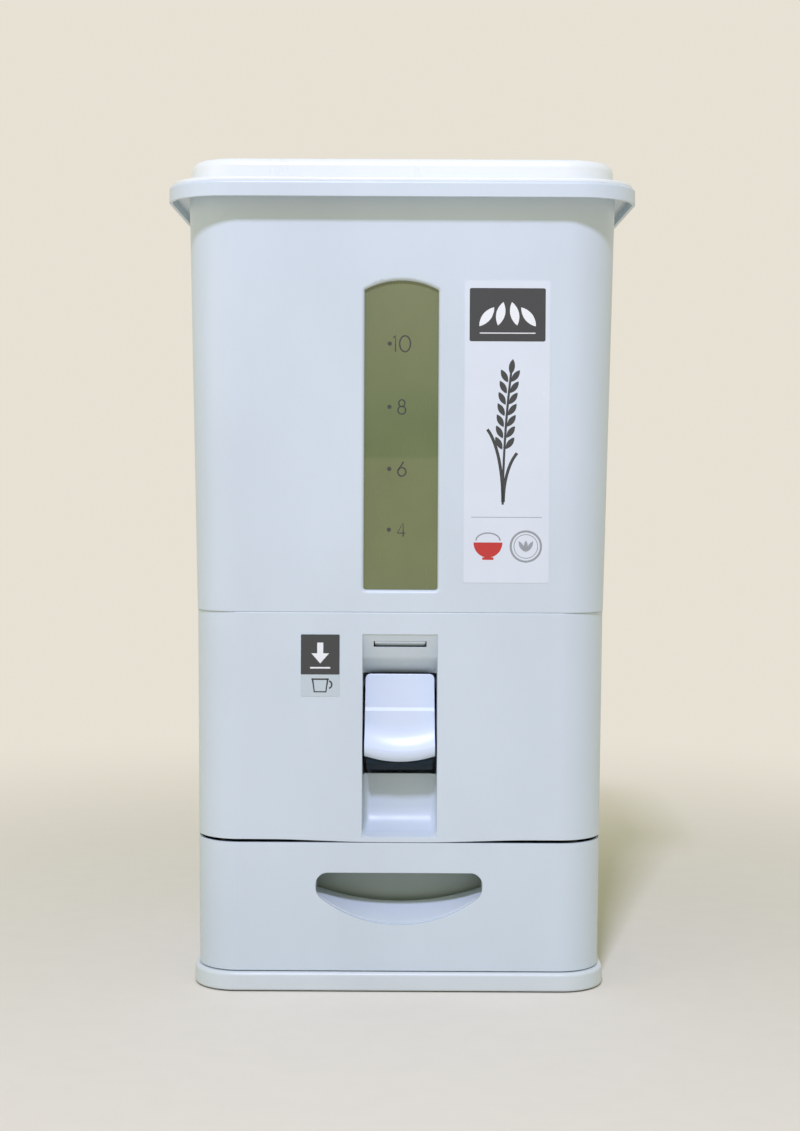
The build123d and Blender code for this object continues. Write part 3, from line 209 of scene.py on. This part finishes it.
def soft_rubber(name, colour, depth=0.00006, sheen=0.15, shine=0.5):
    material, tree, shader = new_material(name)
    dust = object_noise(tree, 60.0, 6.0)
    tree.links.new(two_tone(tree, dust, colour, shade_of(colour, 1.5)), shader.inputs["Base Color"])
    tree.links.new(spread(tree, dust, 0.62, 0.8), shader.inputs["Roughness"])
    bump(tree, shader, object_noise(tree, 900.0, 3.0), depth, 0.7)
    shader.inputs["Sheen Weight"].default_value = sheen
    shader.inputs["Specular IOR Level"].default_value = shine
    return material


def bright_steel(name, colour, roughness, stretch):
    """Zinc-plated or ground steel with fine drawn lines."""
    material, tree, shader = new_material(name)
    shader.inputs["Metallic"].default_value = 1.0
    lines = object_noise(tree, 600.0, 4.0, stretch=stretch)
    stain = object_noise(tree, 120.0, 4.0)
    tree.links.new(two_tone(tree, stain, shade_of(colour, 0.82), colour), shader.inputs["Base Color"])
    tree.links.new(spread(tree, lines, roughness * 0.7, roughness * 1.4), shader.inputs["Roughness"])
    bump(tree, shader, lines, 0.00002, 0.5)
    return material


# Painted shade in the pane: the dim hopper inside seen through it is painted as a darker green band
# over the lower part, over an olive tint that is lighter at the head.
window_foot, window_head = 0.318, 0.565
window_tint_shade_tones = ((0.197, 0.226, 0.098), (0.214, 0.238, 0.118))  # at the foot and at the head
window_shade_bands = [  # share of the height, tone
    (0.42, (0.190, 0.222, 0.094)),
    (0.435, (0.150, 0.196, 0.074)),
    (0.56, (0.158, 0.202, 0.080)),
    (0.72, (0.186, 0.220, 0.098)),
]


def smoked_window(name):
    """Olive smoked plastic. A darker green band of painted shade, standing for the dim inside seen
    through the pane, lies over the lower edge of its tint; the tint is painted lighter towards the
    head.
    """
    material, tree, shader = new_material(name)
    place = tree.nodes.new("ShaderNodeTexCoord")
    parts = tree.nodes.new("ShaderNodeSeparateXYZ")
    tree.links.new(place.outputs["Object"], parts.inputs["Vector"])
    height = tree.nodes.new("ShaderNodeMapRange")
    height.inputs["From Min"].default_value = window_foot
    height.inputs["From Max"].default_value = window_head
    tree.links.new(parts.outputs["Z"], height.inputs["Value"])
    # Painted shade by height: the ramp darkens the tint in bands where the dim inside shows through.
    bands = tree.nodes.new("ShaderNodeValToRGB")
    stops = bands.color_ramp.elements
    stops[0].position = 0.0
    stops[0].color = (*window_tint_shade_tones[0], 1.0)
    stops[1].position = 1.0
    stops[1].color = (*window_tint_shade_tones[1], 1.0)
    for position, colour in window_shade_bands:
        stop = stops.new(position)
        stop.color = (*colour, 1.0)
    tree.links.new(height.outputs["Result"], bands.inputs["Fac"])
    cloud = object_noise(tree, 24.0, 4.0)
    veil = tree.nodes.new("ShaderNodeMix")
    veil.data_type = "RGBA"
    veil.blend_type = "MULTIPLY"
    veil.inputs["Factor"].default_value = 1.0
    tree.links.new(bands.outputs["Color"], veil.inputs["A"])
    tone = two_tone(tree, cloud, (0.93, 0.93, 0.93), (1.0, 1.0, 1.0))
    tree.links.new(tone, veil.inputs["B"])
    tree.links.new(veil.outputs["Result"], shader.inputs["Base Color"])
    scratch = object_noise(tree, 260.0, 5.0, stretch=(1.0, 1.0, 0.06), turn=(0.0, 0.35, 0.0))
    tree.links.new(spread(tree, scratch, 0.16, 0.3), shader.inputs["Roughness"])
    bump(tree, shader, scratch, 0.00001, 0.3)
    shader.inputs["Transmission Weight"].default_value = 0.12
    shader.inputs["Coat Weight"].default_value = 0.25
    shader.inputs["Coat Roughness"].default_value = 0.08
    return material


def printed_ink(name, colour, roughness=0.45):
    material, tree, shader = new_material(name)
    speckle = object_noise(tree, 1800.0, 2.0)
    tree.links.new(two_tone(tree, speckle, colour, shade_of(colour, 1.12)), shader.inputs["Base Color"])
    tree.links.new(spread(tree, speckle, roughness, roughness * 1.2), shader.inputs["Roughness"])
    return material


def label_film(name, colour):
    """Thin glossy film with a faint ripple from sticking."""
    material, tree, shader = new_material(name)
    age = object_noise(tree, 30.0, 3.0)
    tree.links.new(two_tone(tree, age, shade_of(colour, 0.975), colour), shader.inputs["Base Color"])
    tree.links.new(spread(tree, age, 0.2, 0.28), shader.inputs["Roughness"])
    bump(tree, shader, object_noise(tree, 45.0, 2.0), 0.0002, 0.3)
    shader.inputs["Coat Weight"].default_value = 0.3
    return material


body_white = moulded_plastic("body_white_satin", (0.615, 0.69, 0.75), 0.42, coat=0.1)
lid_white = moulded_plastic("lid_white_gloss", (0.81, 0.845, 0.83), 0.3, depth=0.000004, coat=0.2)
lever_blue = moulded_plastic("lever_pale_blue_gloss", (0.66, 0.75, 0.90), 0.4, depth=0.000004, coat=0.7)
base_white = moulded_plastic("base_white_satin", (0.64, 0.70, 0.715), 0.36)
# Partly painted shade: the tub's grey-green is kept dark to stand for the shade on its front wall, seen
# at the back of the grip pocket.
tub_grey = moulded_plastic("tub_grey_green_painted_shade", (0.36, 0.43, 0.415), 0.5, depth=0.00002)
inner_white = moulded_plastic("inner_white_matte", (0.62, 0.66, 0.69), 0.5, depth=0.00002)
slide_grey = moulded_plastic("slide_grey_matte", (0.42, 0.46, 0.49), 0.45, depth=0.00002)
rail_grey = moulded_plastic("rail_grey_slick", (0.50, 0.53, 0.54), 0.38)
seal_grey = soft_rubber("seal_soft_grey", (0.15, 0.17, 0.18), 0.00003)
foot_rubber = soft_rubber("foot_rubber_dark", (0.035, 0.035, 0.036))
# Painted shade: the lever's skirt under the lip gets a near-black colour and little sheen or specular,
# standing for the lip's shadow on it.
skirt_dark = soft_rubber("lever_skirt_painted_shade", (0.008, 0.016, 0.024), 0.00002, 0.0, 0.2)
screw_steel = bright_steel("screw_zinc", (0.62, 0.62, 0.60), 0.32, (1.0, 1.0, 1.0))
pin_steel = bright_steel("pin_ground_steel", (0.66, 0.66, 0.65), 0.22, (0.05, 1.0, 1.0))
spring_steel = bright_steel("spring_drawn_wire", (0.45, 0.45, 0.44), 0.3, (1.0, 0.1, 1.0))
window_smoke = smoked_window("window_smoked_olive_painted_shade")
film_white = label_film("label_film_pale", (0.71, 0.765, 0.83))
film_small = label_film("small_film_pale", (0.53, 0.61, 0.65))
ink_grey = printed_ink("ink_dark_grey", (0.046, 0.048, 0.048))
ink_level = printed_ink("ink_level_marks", (0.048, 0.052, 0.046))
ink_white = printed_ink("ink_white", (0.78, 0.80, 0.81))
ink_red = printed_ink("ink_red", (0.50, 0.035, 0.03))
ink_pale = printed_ink("ink_pale_grey", (0.30, 0.32, 0.34))

finish_of = {
    "body_white": body_white,
    "lid_white": lid_white,
    "lever_blue": lever_blue,
    "base_white": base_white,
    # The tub_grey slot carries the tub's darkened grey-green, partly painted shade.
    "tub_grey": tub_grey,
    "inner_white": inner_white,
    "slide_grey": slide_grey,
    "rail_grey": rail_grey,
    "seal_grey": seal_grey,
    "foot_rubber": foot_rubber,
    # The skirt_dark slot carries the skirt's painted shade colour.
    "skirt_dark": skirt_dark,
    "screw_steel": screw_steel,
    "pin_steel": pin_steel,
    "spring_steel": spring_steel,
    "window_smoke": window_smoke,
    "label_film": film_white,
}
for node, shown in nodes.items():
    paint(shown, finish_of[slot_of[node]])
paint(nodes["dose_label"], film_small)


# ---- Moulded shells ------------------------------------------------------------------------
def moulded_copy(node, name, edge_round=0.0, crease=32.0):
    """The node's shell as one clean mesh, its curves smooth and its small parts' edges broken."""
    shell = bpy.data.objects.new(name, nodes[node].data.copy())
    bpy.context.scene.collection.objects.link(shell)
    edit(shell)
    bpy.ops.mesh.remove_doubles(threshold=0.000002)
    bpy.ops.mesh.dissolve_limited(angle_limit=radians(0.05))
    close_edit()
    bpy.ops.mesh.customdata_custom_splitnormals_clear()
    if edge_round > 0:
        bpy.ops.object.modifier_add(type="BEVEL")
        rounding = shell.modifiers[-1]
        rounding.width = edge_round
        rounding.segments = 2
        rounding.limit_method = "ANGLE"
        rounding.angle_limit = radians(50)
        rounding.use_clamp_overlap = False
        rounding.miter_outer = "MITER_ARC"
        bpy.ops.object.modifier_apply(modifier=rounding.name)
    bpy.ops.object.shade_smooth()
    edit(shell)
    bpy.ops.mesh.mark_sharp(clear=True)
    bpy.ops.mesh.select_all(action="DESELECT")
    bpy.ops.mesh.edges_select_sharp(sharpness=radians(crease))
    bpy.ops.mesh.mark_sharp()
    close_edit()
    bpy.ops.object.modifier_add(type="WEIGHTED_NORMAL")
    flatness = shell.modifiers[-1]
    flatness.keep_sharp = True
    bpy.ops.object.modifier_apply(modifier=flatness.name)
    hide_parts(node)
    return seat(shell, body_of[node], finish_of[slot_of[node]])


shells = {
    "hopper_shell": ("hopper_moulding",),
    "lower_housing": ("housing_moulding",),
    "drawer_front": ("drawer_front_moulding",),
    "drawer_tub": ("drawer_tub_moulding",),
    "base_tray": ("base_moulding",),
    "lid": ("lid_moulding",),
    "press_lever": ("lever_paddle", 0.0004, 20.0),
    "hopper_latch": ("hopper_catch", 0.0003),
    "window_pane": ("window_pane_moulding", 0.0002),
    "funnel": ("funnel_moulding",),
    "rubber_feet": ("foot_pads", 0.0005),
}
for node, measures in shells.items():
    moulded_copy(node, *measures)


def wound_spring():
    """Torsion spring: a coil round the shaft, one leg on the brow and one on the paddle."""
    shaft = Vector((0.0, -0.08439, 0.243))
    brow_end = Vector((-0.0082, -0.1078, 0.2572))
    paddle_end = Vector((0.0082, -0.1118, 0.23))
    coil_radius, wire_radius = 0.0043, 0.00078
    turns, steps = 9.5, 24
    points = [brow_end]
    for n in range(int(turns * steps) + 1):
        share = n / (turns * steps)
        angle = radians(90 - 360 * turns * share)
        along = brow_end.x + (paddle_end.x - brow_end.x) * share
        points.append(shaft + Vector((along, coil_radius * cos(angle), coil_radius * sin(angle))))
    points.append(paddle_end)
    wire = bpy.data.curves.new("lever_spring_wire", "CURVE")
    wire.dimensions = "3D"
    wire.bevel_depth = wire_radius
    wire.bevel_resolution = 3
    wire.use_fill_caps = True
    run = wire.splines.new("POLY")
    run.points.add(len(points) - 1)
    for target, point in zip(run.points, points):
        target.co = (*point, 1.0)
    spring = bpy.data.objects.new("lever_spring_wire", wire)
    bpy.context.scene.collection.objects.link(spring)
    select_only(spring)
    bpy.ops.object.convert(target="MESH")
    spring = bpy.context.view_layer.objects.active
    bpy.ops.object.shade_smooth_by_angle(angle=radians(40))
    paint(spring, spring_steel)
    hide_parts("lever_spring")
    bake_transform(spring)


wound_spring()


# ---- Print ---------------------------------------------------------------------------------
def arc(cx, cy, rx, ry, start, end, steps=20):
    """Points along an ellipse, angles in degrees."""
    points = []
    for n in range(steps + 1):
        angle = radians(start + (end - start) * n / steps)
        points.append((cx + rx * cos(angle), cy + ry * sin(angle)))
    return points


def drawn_lines(name, runs, width, scale=0.001):
    """Pen lines of one width along runs of points in millimetres, as one flat mesh."""
    pen = bpy.data.curves.new(name, "CURVE")
    pen.dimensions = "3D"
    pen.bevel_depth = width * scale / 2
    pen.bevel_resolution = 1
    pen.use_fill_caps = True
    for points in runs:
        closed = len(points) > 3 and (Vector(points[0]) - Vector(points[-1])).length < 0.001
        points = points[:-1] if closed else points
        spline = pen.splines.new("POLY")
        spline.points.add(len(points) - 1)
        for target, (x, y) in zip(spline.points, points):
            target.co = (x * scale, y * scale, 0.0, 1.0)
        spline.use_cyclic_u = closed
    lines = bpy.data.objects.new(name, pen)
    bpy.context.scene.collection.objects.link(lines)
    select_only(lines)
    bpy.ops.object.convert(target="MESH")
    lines = bpy.context.view_layer.objects.active
    lines.scale = (1.0, 1.0, ink_thickness / (width * scale))
    apply_place(lines)
    return lines


def filled_shape(name, points, scale=0.001):
    """Flat patch of ink inside an outline given in millimetres."""
    outline = bpy.data.curves.new(name, "CURVE")
    outline.dimensions = "2D"
    outline.fill_mode = "BOTH"
    outline.extrude = ink_thickness / 2
    edge = outline.splines.new("POLY")
    edge.points.add(len(points) - 1)
    for target, (x, y) in zip(edge.points, points):
        target.co = (x * scale, y * scale, 0.0, 1.0)
    edge.use_cyclic_u = True
    patch = bpy.data.objects.new(name, outline)
    bpy.context.scene.collection.objects.link(patch)
    select_only(patch)
    bpy.ops.object.convert(target="MESH")
    patch = bpy.context.view_layer.objects.active
    edit(patch)
    bpy.ops.mesh.remove_doubles(threshold=0.000002)
    bpy.ops.mesh.normals_make_consistent(inside=False)
    close_edit()
    return patch


def rounded_box(cx, cy, width, height, radius, steps=6):
    """Outline of a rounded rectangle."""
    points = []
    for sx, sy, start in ((1, 1, 0), (-1, 1, 90), (-1, -1, 180), (1, -1, 270)):
        x = cx + sx * (width / 2 - radius)
        y = cy + sy * (height / 2 - radius)
        points += arc(x, y, radius, radius, start, start + 90, steps)
    return points


def disc(cx, cy, radius, steps=24):
    return arc(cx, cy, radius, radius, 0, 360, steps)[:-1]


def digit_runs(digit, x, y, height):
    """Pen runs of a plain number, its lower left corner at x, y."""
    h = height
    if digit == "1":
        return [[(x, y + h * 0.86), (x + h * 0.14, y + h), (x + h * 0.14, y)]], h * 0.24
    if digit == "0":
        return [arc(x + h * 0.34, y + h / 2, h * 0.34, h / 2, 0, 360, 32)], h * 0.68
    if digit == "8":
        top = arc(x + h * 0.28, y + h * 0.76, h * 0.21, h * 0.24, 0, 360, 28)
        low = arc(x + h * 0.28, y + h * 0.27, h * 0.27, h * 0.27, 0, 360, 32)
        return [top, low], h * 0.56
    if digit == "6":
        bowl = arc(x + h * 0.3, y + h * 0.3, h * 0.28, h * 0.3, 0, 360, 32)
        stem = [(x + h * 0.42, y + h), (x + h * 0.06, y + h * 0.42)]
        return [bowl, stem], h * 0.6
    right = x + h * 0.44
    return [[(right, y), (right, y + h), (x, y + h * 0.26), (x + h * 0.56, y + h * 0.26)]], h * 0.58


level_marks = [
    ("10", 213.0, 12.6),
    ("8", 163.0, 11.4),
    ("6", 113.8, 11.4),
    ("4", 65.5, 10.8),
]
mark_dot_x = -9.4
mark_text_x = -6.6


def level_scale():
    """Dots and plain numbers printed on the window."""
    pieces = []
    for text, middle, height in level_marks:
        dot = filled_shape("level_dot", disc(mark_dot_x, middle, 1.7))
        pieces.append(dot)
        x = mark_text_x
        if text != "10":
            x += 3.8
        runs = []
        for digit in text:
            strokes, advance = digit_runs(digit, x, middle - height / 2, height)
            runs += strokes
            x += advance + height * 0.16
        pieces.append(drawn_lines("level_number", runs, 1.1))
    scale = joined("level_scale", pieces)
    lay_on_face(scale, hopper_foot, hopper_lean, 0.0, 0.0, inward=pane_depth - 0.00002)
    return seat(scale, "housing", ink_level)


level_scale()


def grain(cx, cy, length, width, lean, steps=10):
    """Outline of a pointed rice grain."""
    lean = radians(lean)
    points = []
    for side in (1, -1):
        for n in range(steps):
            t = n / steps
            along = (t - 0.5) * length * side
            across = sin(pi * t) ** 0.8 * width / 2 * side
            points.append(
                (
                    cx + across * cos(lean) - along * sin(lean),
                    cy + across * sin(lean) + along * cos(lean),
                )
            )
    return points


def rice_ear(cx, foot, height):
    """A stem that leans over, with pairs of grains and one grain at its tip."""
    stem = [(cx + 6.0 * (t / 20) ** 2, foot + height * t / 20) for t in range(21)]
    grains = []
    for n in range(7):
        t = 0.42 + n * 0.085
        x = cx + 6.0 * t * t
        y = foot + height * t
        for side in (1, -1):
            grains.append(grain(x + side * 4.4, y + 5.0, 11.5, 4.6, -side * 32.0 - 4.0))
    grains.append(grain(cx + 6.6, foot + height + 5.0, 12.5, 4.8, -8.0))
    return stem, grains


def info_print():
    """Print of the tall label: a dark block with grains, a rice ear, a bowl and a ring."""
    middle = 83.6
    grey, pale, red, white = [], [], [], []
    grey.append(filled_shape("block", rounded_box(middle, 236.0, 60.0, 42.0, 1.5)))
    for n, lean in enumerate((-38.0, -13.0, 13.0, 38.0)):
        x = middle + (n - 1.5) * 11.0
        white.append(filled_shape("grain", grain(x, 238.0 - abs(n - 1.5) * 2.4, 19.0, 7.0, lean)))
    white.append(drawn_lines("rule", [[(middle - 22.0, 221.5), (middle + 22.0, 221.5)]], 0.9))
    stem, grains = rice_ear(middle - 3.0, 86.0, 104.0)
    grey.append(drawn_lines("stem", [stem], 1.8))
    for outline in grains:
        grey.append(filled_shape("ear_grain", outline))
    left_leaf = arc(middle - 23.0, 88.0, 20.0, 62.0, 0, 68, 20)
    right_leaf = arc(middle + 17.5, 88.0, 20.0, 44.0, 180, 118, 20)
    grey.append(drawn_lines("leaves", [left_leaf, right_leaf], 2.4))
    pale.append(drawn_lines("rule", [[(middle - 28.0, 76.0), (middle + 28.0, 76.0)]], 0.5))
    bowl = arc(middle - 14.5, 56.0, 11.5, 12.0, 180, 360, 24)
    red.append(filled_shape("bowl", bowl))
    red.append(filled_shape("bowl_foot", rounded_box(middle - 14.5, 43.2, 9.0, 2.0, 0.6)))
    heap = arc(middle - 14.5, 57.5, 9.5, 6.0, 0, 180, 24)
    pale.append(drawn_lines("heap", [heap], 1.1))
    ring = arc(middle + 15.5, 53.0, 12.0, 12.0, 0, 360, 40)
    inner_ring = arc(middle + 15.5, 53.0, 9.4, 9.4, 0, 360, 40)
    pale.append(drawn_lines("ring", [ring], 1.6))
    pale.append(drawn_lines("inner_ring", [inner_ring], 0.6))
    for lean in (-30.0, 0.0, 30.0):
        x = middle + 15.5 - lean * 0.11
        pale.append(filled_shape("ring_grain", grain(x, 53.0, 9.5, 3.2, lean)))
    for name, inks, material in (
        ("info_print_grey", grey, ink_grey),
        ("info_print_pale", pale, ink_pale),
        ("info_print_red", red, ink_red),
        ("info_print_white", white, ink_white),
    ):
        print_layer = joined(name, inks)
        lift = film_depth if material is not ink_white else film_depth + ink_thickness
        lay_on_face(print_layer, hopper_foot, hopper_lean, 0.0, 0.0, inward=-lift)
        seat(print_layer, "housing", material)


info_print()


def dose_print():
    """Print of the small label: a pressing arrow on a dark square, a cup under it."""
    x = -63.3
    top = -17.6
    block = filled_shape("square", rounded_box(x, top - 15.9, 30.7, 31.8, 0.8))
    arrow = [
        (x - 2.4, top - 6.5),
        (x + 2.4, top - 6.5),
        (x + 2.4, top - 15.0),
        (x + 7.0, top - 15.0),
        (x, top - 23.0),
        (x - 7.0, top - 15.0),
        (x - 2.4, top - 15.0),
    ]
    arrow_patch = filled_shape("arrow", arrow)
    bar = drawn_lines("arrow_bar", [[(x - 8.0, top - 26.5), (x + 8.0, top - 26.5)]], 1.4)
    cup_lines = [
        [(x - 6.0, top - 35.5), (x - 4.6, top - 45.5), (x + 4.6, top - 45.5), (x + 6.0, top - 35.5)],
        [(x - 6.9, top - 35.5), (x + 6.9, top - 35.5)],
        arc(x + 6.6, top - 39.8, 2.6, 2.9, 80, -80, 14),
    ]
    cup = drawn_lines("cup", cup_lines, 1.3)
    grey = joined("dose_print_grey", [block, cup])
    lay_on_face(grey, housing_head, housing_lean, 0.0, 0.0, inward=-film_depth)
    seat(grey, "housing", ink_grey)
    white = joined("dose_print_white", [arrow_patch, bar])
    lay_on_face(white, housing_head, housing_lean, 0.0, 0.0, inward=-film_depth - ink_thickness)
    seat(white, "housing", ink_white)


dose_print()


# ---- Floor, light and camera ---------------------------------------------------------------
backdrop_tone = (0.80, 0.755, 0.66)


def pale_floor():
    """Plain floor that passes into the backdrop's tone away from the object."""
    bpy.ops.object.select_all(action="DESELECT")
    bpy.ops.mesh.primitive_circle_add(vertices=64, radius=30.0, fill_type="NGON", location=(0, 0, 0))
    floor = bpy.context.object
    floor.name = "floor"
    material, tree, shader = new_material("floor_pale")
    speckle = object_noise(tree, 40.0, 3.0)
    grain_tone = two_tone(tree, speckle, shade_of(backdrop_tone, 0.985), backdrop_tone)
    tree.links.new(grain_tone, shader.inputs["Base Color"])
    shader.inputs["Roughness"].default_value = 0.8
    shader.inputs["Specular IOR Level"].default_value = 0.2
    glow = tree.nodes.new("ShaderNodeEmission")
    glow.inputs["Color"].default_value = (*backdrop_tone, 1.0)
    place = tree.nodes.new("ShaderNodeTexCoord")
    distance = tree.nodes.new("ShaderNodeVectorMath")
    distance.operation = "LENGTH"
    fade = tree.nodes.new("ShaderNodeMapRange")
    fade.interpolation_type = "SMOOTHSTEP"
    fade.inputs["From Min"].default_value = 0.25
    fade.inputs["From Max"].default_value = 1.3
    mix = tree.nodes.new("ShaderNodeMixShader")
    output = tree.nodes["Material Output"]
    tree.links.new(place.outputs["Object"], distance.inputs[0])
    tree.links.new(distance.outputs["Value"], fade.inputs["Value"])
    tree.links.new(fade.outputs["Result"], mix.inputs["Fac"])
    tree.links.new(shader.outputs["BSDF"], mix.inputs[1])
    tree.links.new(glow.outputs["Emission"], mix.inputs[2])
    tree.links.new(mix.outputs["Shader"], output.inputs["Surface"])
    paint(floor, material)


def studio_world():
    """Even soft light all round; camera, gloss and glass rays see the backdrop's tone."""
    world = bpy.data.worlds.new("studio")
    bpy.context.scene.world = world
    world.use_nodes = True
    tree = world.node_tree
    room = tree.nodes["Background"]
    room.inputs["Color"].default_value = (0.966, 1.0, 0.706, 1.0)
    room.inputs["Strength"].default_value = 0.46
    seen = tree.nodes.new("ShaderNodeBackground")
    seen.inputs["Color"].default_value = (*backdrop_tone, 1.0)
    seen.inputs["Strength"].default_value = 1.0
    rays = tree.nodes.new("ShaderNodeLightPath")
    either = tree.nodes.new("ShaderNodeMath")
    either.operation = "MAXIMUM"
    any_clear = tree.nodes.new("ShaderNodeMath")
    any_clear.operation = "MAXIMUM"
    mix = tree.nodes.new("ShaderNodeMixShader")
    tree.links.new(rays.outputs["Is Camera Ray"], either.inputs[0])
    tree.links.new(rays.outputs["Is Glossy Ray"], either.inputs[1])
    tree.links.new(either.outputs["Value"], any_clear.inputs[0])
    tree.links.new(rays.outputs["Is Transmission Ray"], any_clear.inputs[1])
    tree.links.new(any_clear.outputs["Value"], mix.inputs["Fac"])
    tree.links.new(room.outputs["Background"], mix.inputs[1])
    tree.links.new(seen.outputs["Background"], mix.inputs[2])
    tree.links.new(mix.outputs["Shader"], tree.nodes["World Output"].inputs["Surface"])


def soft_lamp(name, place, aim, size, power, tone=(1.0, 1.0, 1.0)):
    lamp = bpy.data.lights.new(name, "AREA")
    lamp.shape = "RECTANGLE"
    lamp.color = tone
    lamp.size, lamp.size_y = size
    lamp.energy = power
    holder = bpy.data.objects.new(name, lamp)
    bpy.context.scene.collection.objects.link(holder)
    holder.location = place
    holder.rotation_euler = (Vector(aim) - Vector(place)).to_track_quat("-Z", "Y").to_euler()


def photo_camera():
    camera = bpy.data.cameras.new("camera")
    camera.lens = 58.2
    camera.sensor_width = 36.0
    camera.shift_y = -0.0889
    camera.shift_x = -0.0009
    holder = bpy.data.objects.new("camera", camera)
    bpy.context.scene.collection.objects.link(holder)
    holder.location = (0.0, -1.579, 0.418)
    holder.rotation_euler = (radians(90.0), radians(-0.28), 0.0)
    bpy.context.scene.camera = holder


pale_floor()
studio_world()
soft_lamp("key_lamp", (-0.25, -2.35, 3.0), (0.0, 0.0, 0.35), (0.3, 0.3), 96.0, (0.69, 0.70, 1.0))
soft_lamp("side_lamp", (-2.2, -1.3, 1.0), (0.0, 0.0, 0.3), (1.2, 1.6), 5.0, (1.0, 0.98, 0.8))
photo_camera()
bpy.context.scene.view_settings.view_transform = "Standard"
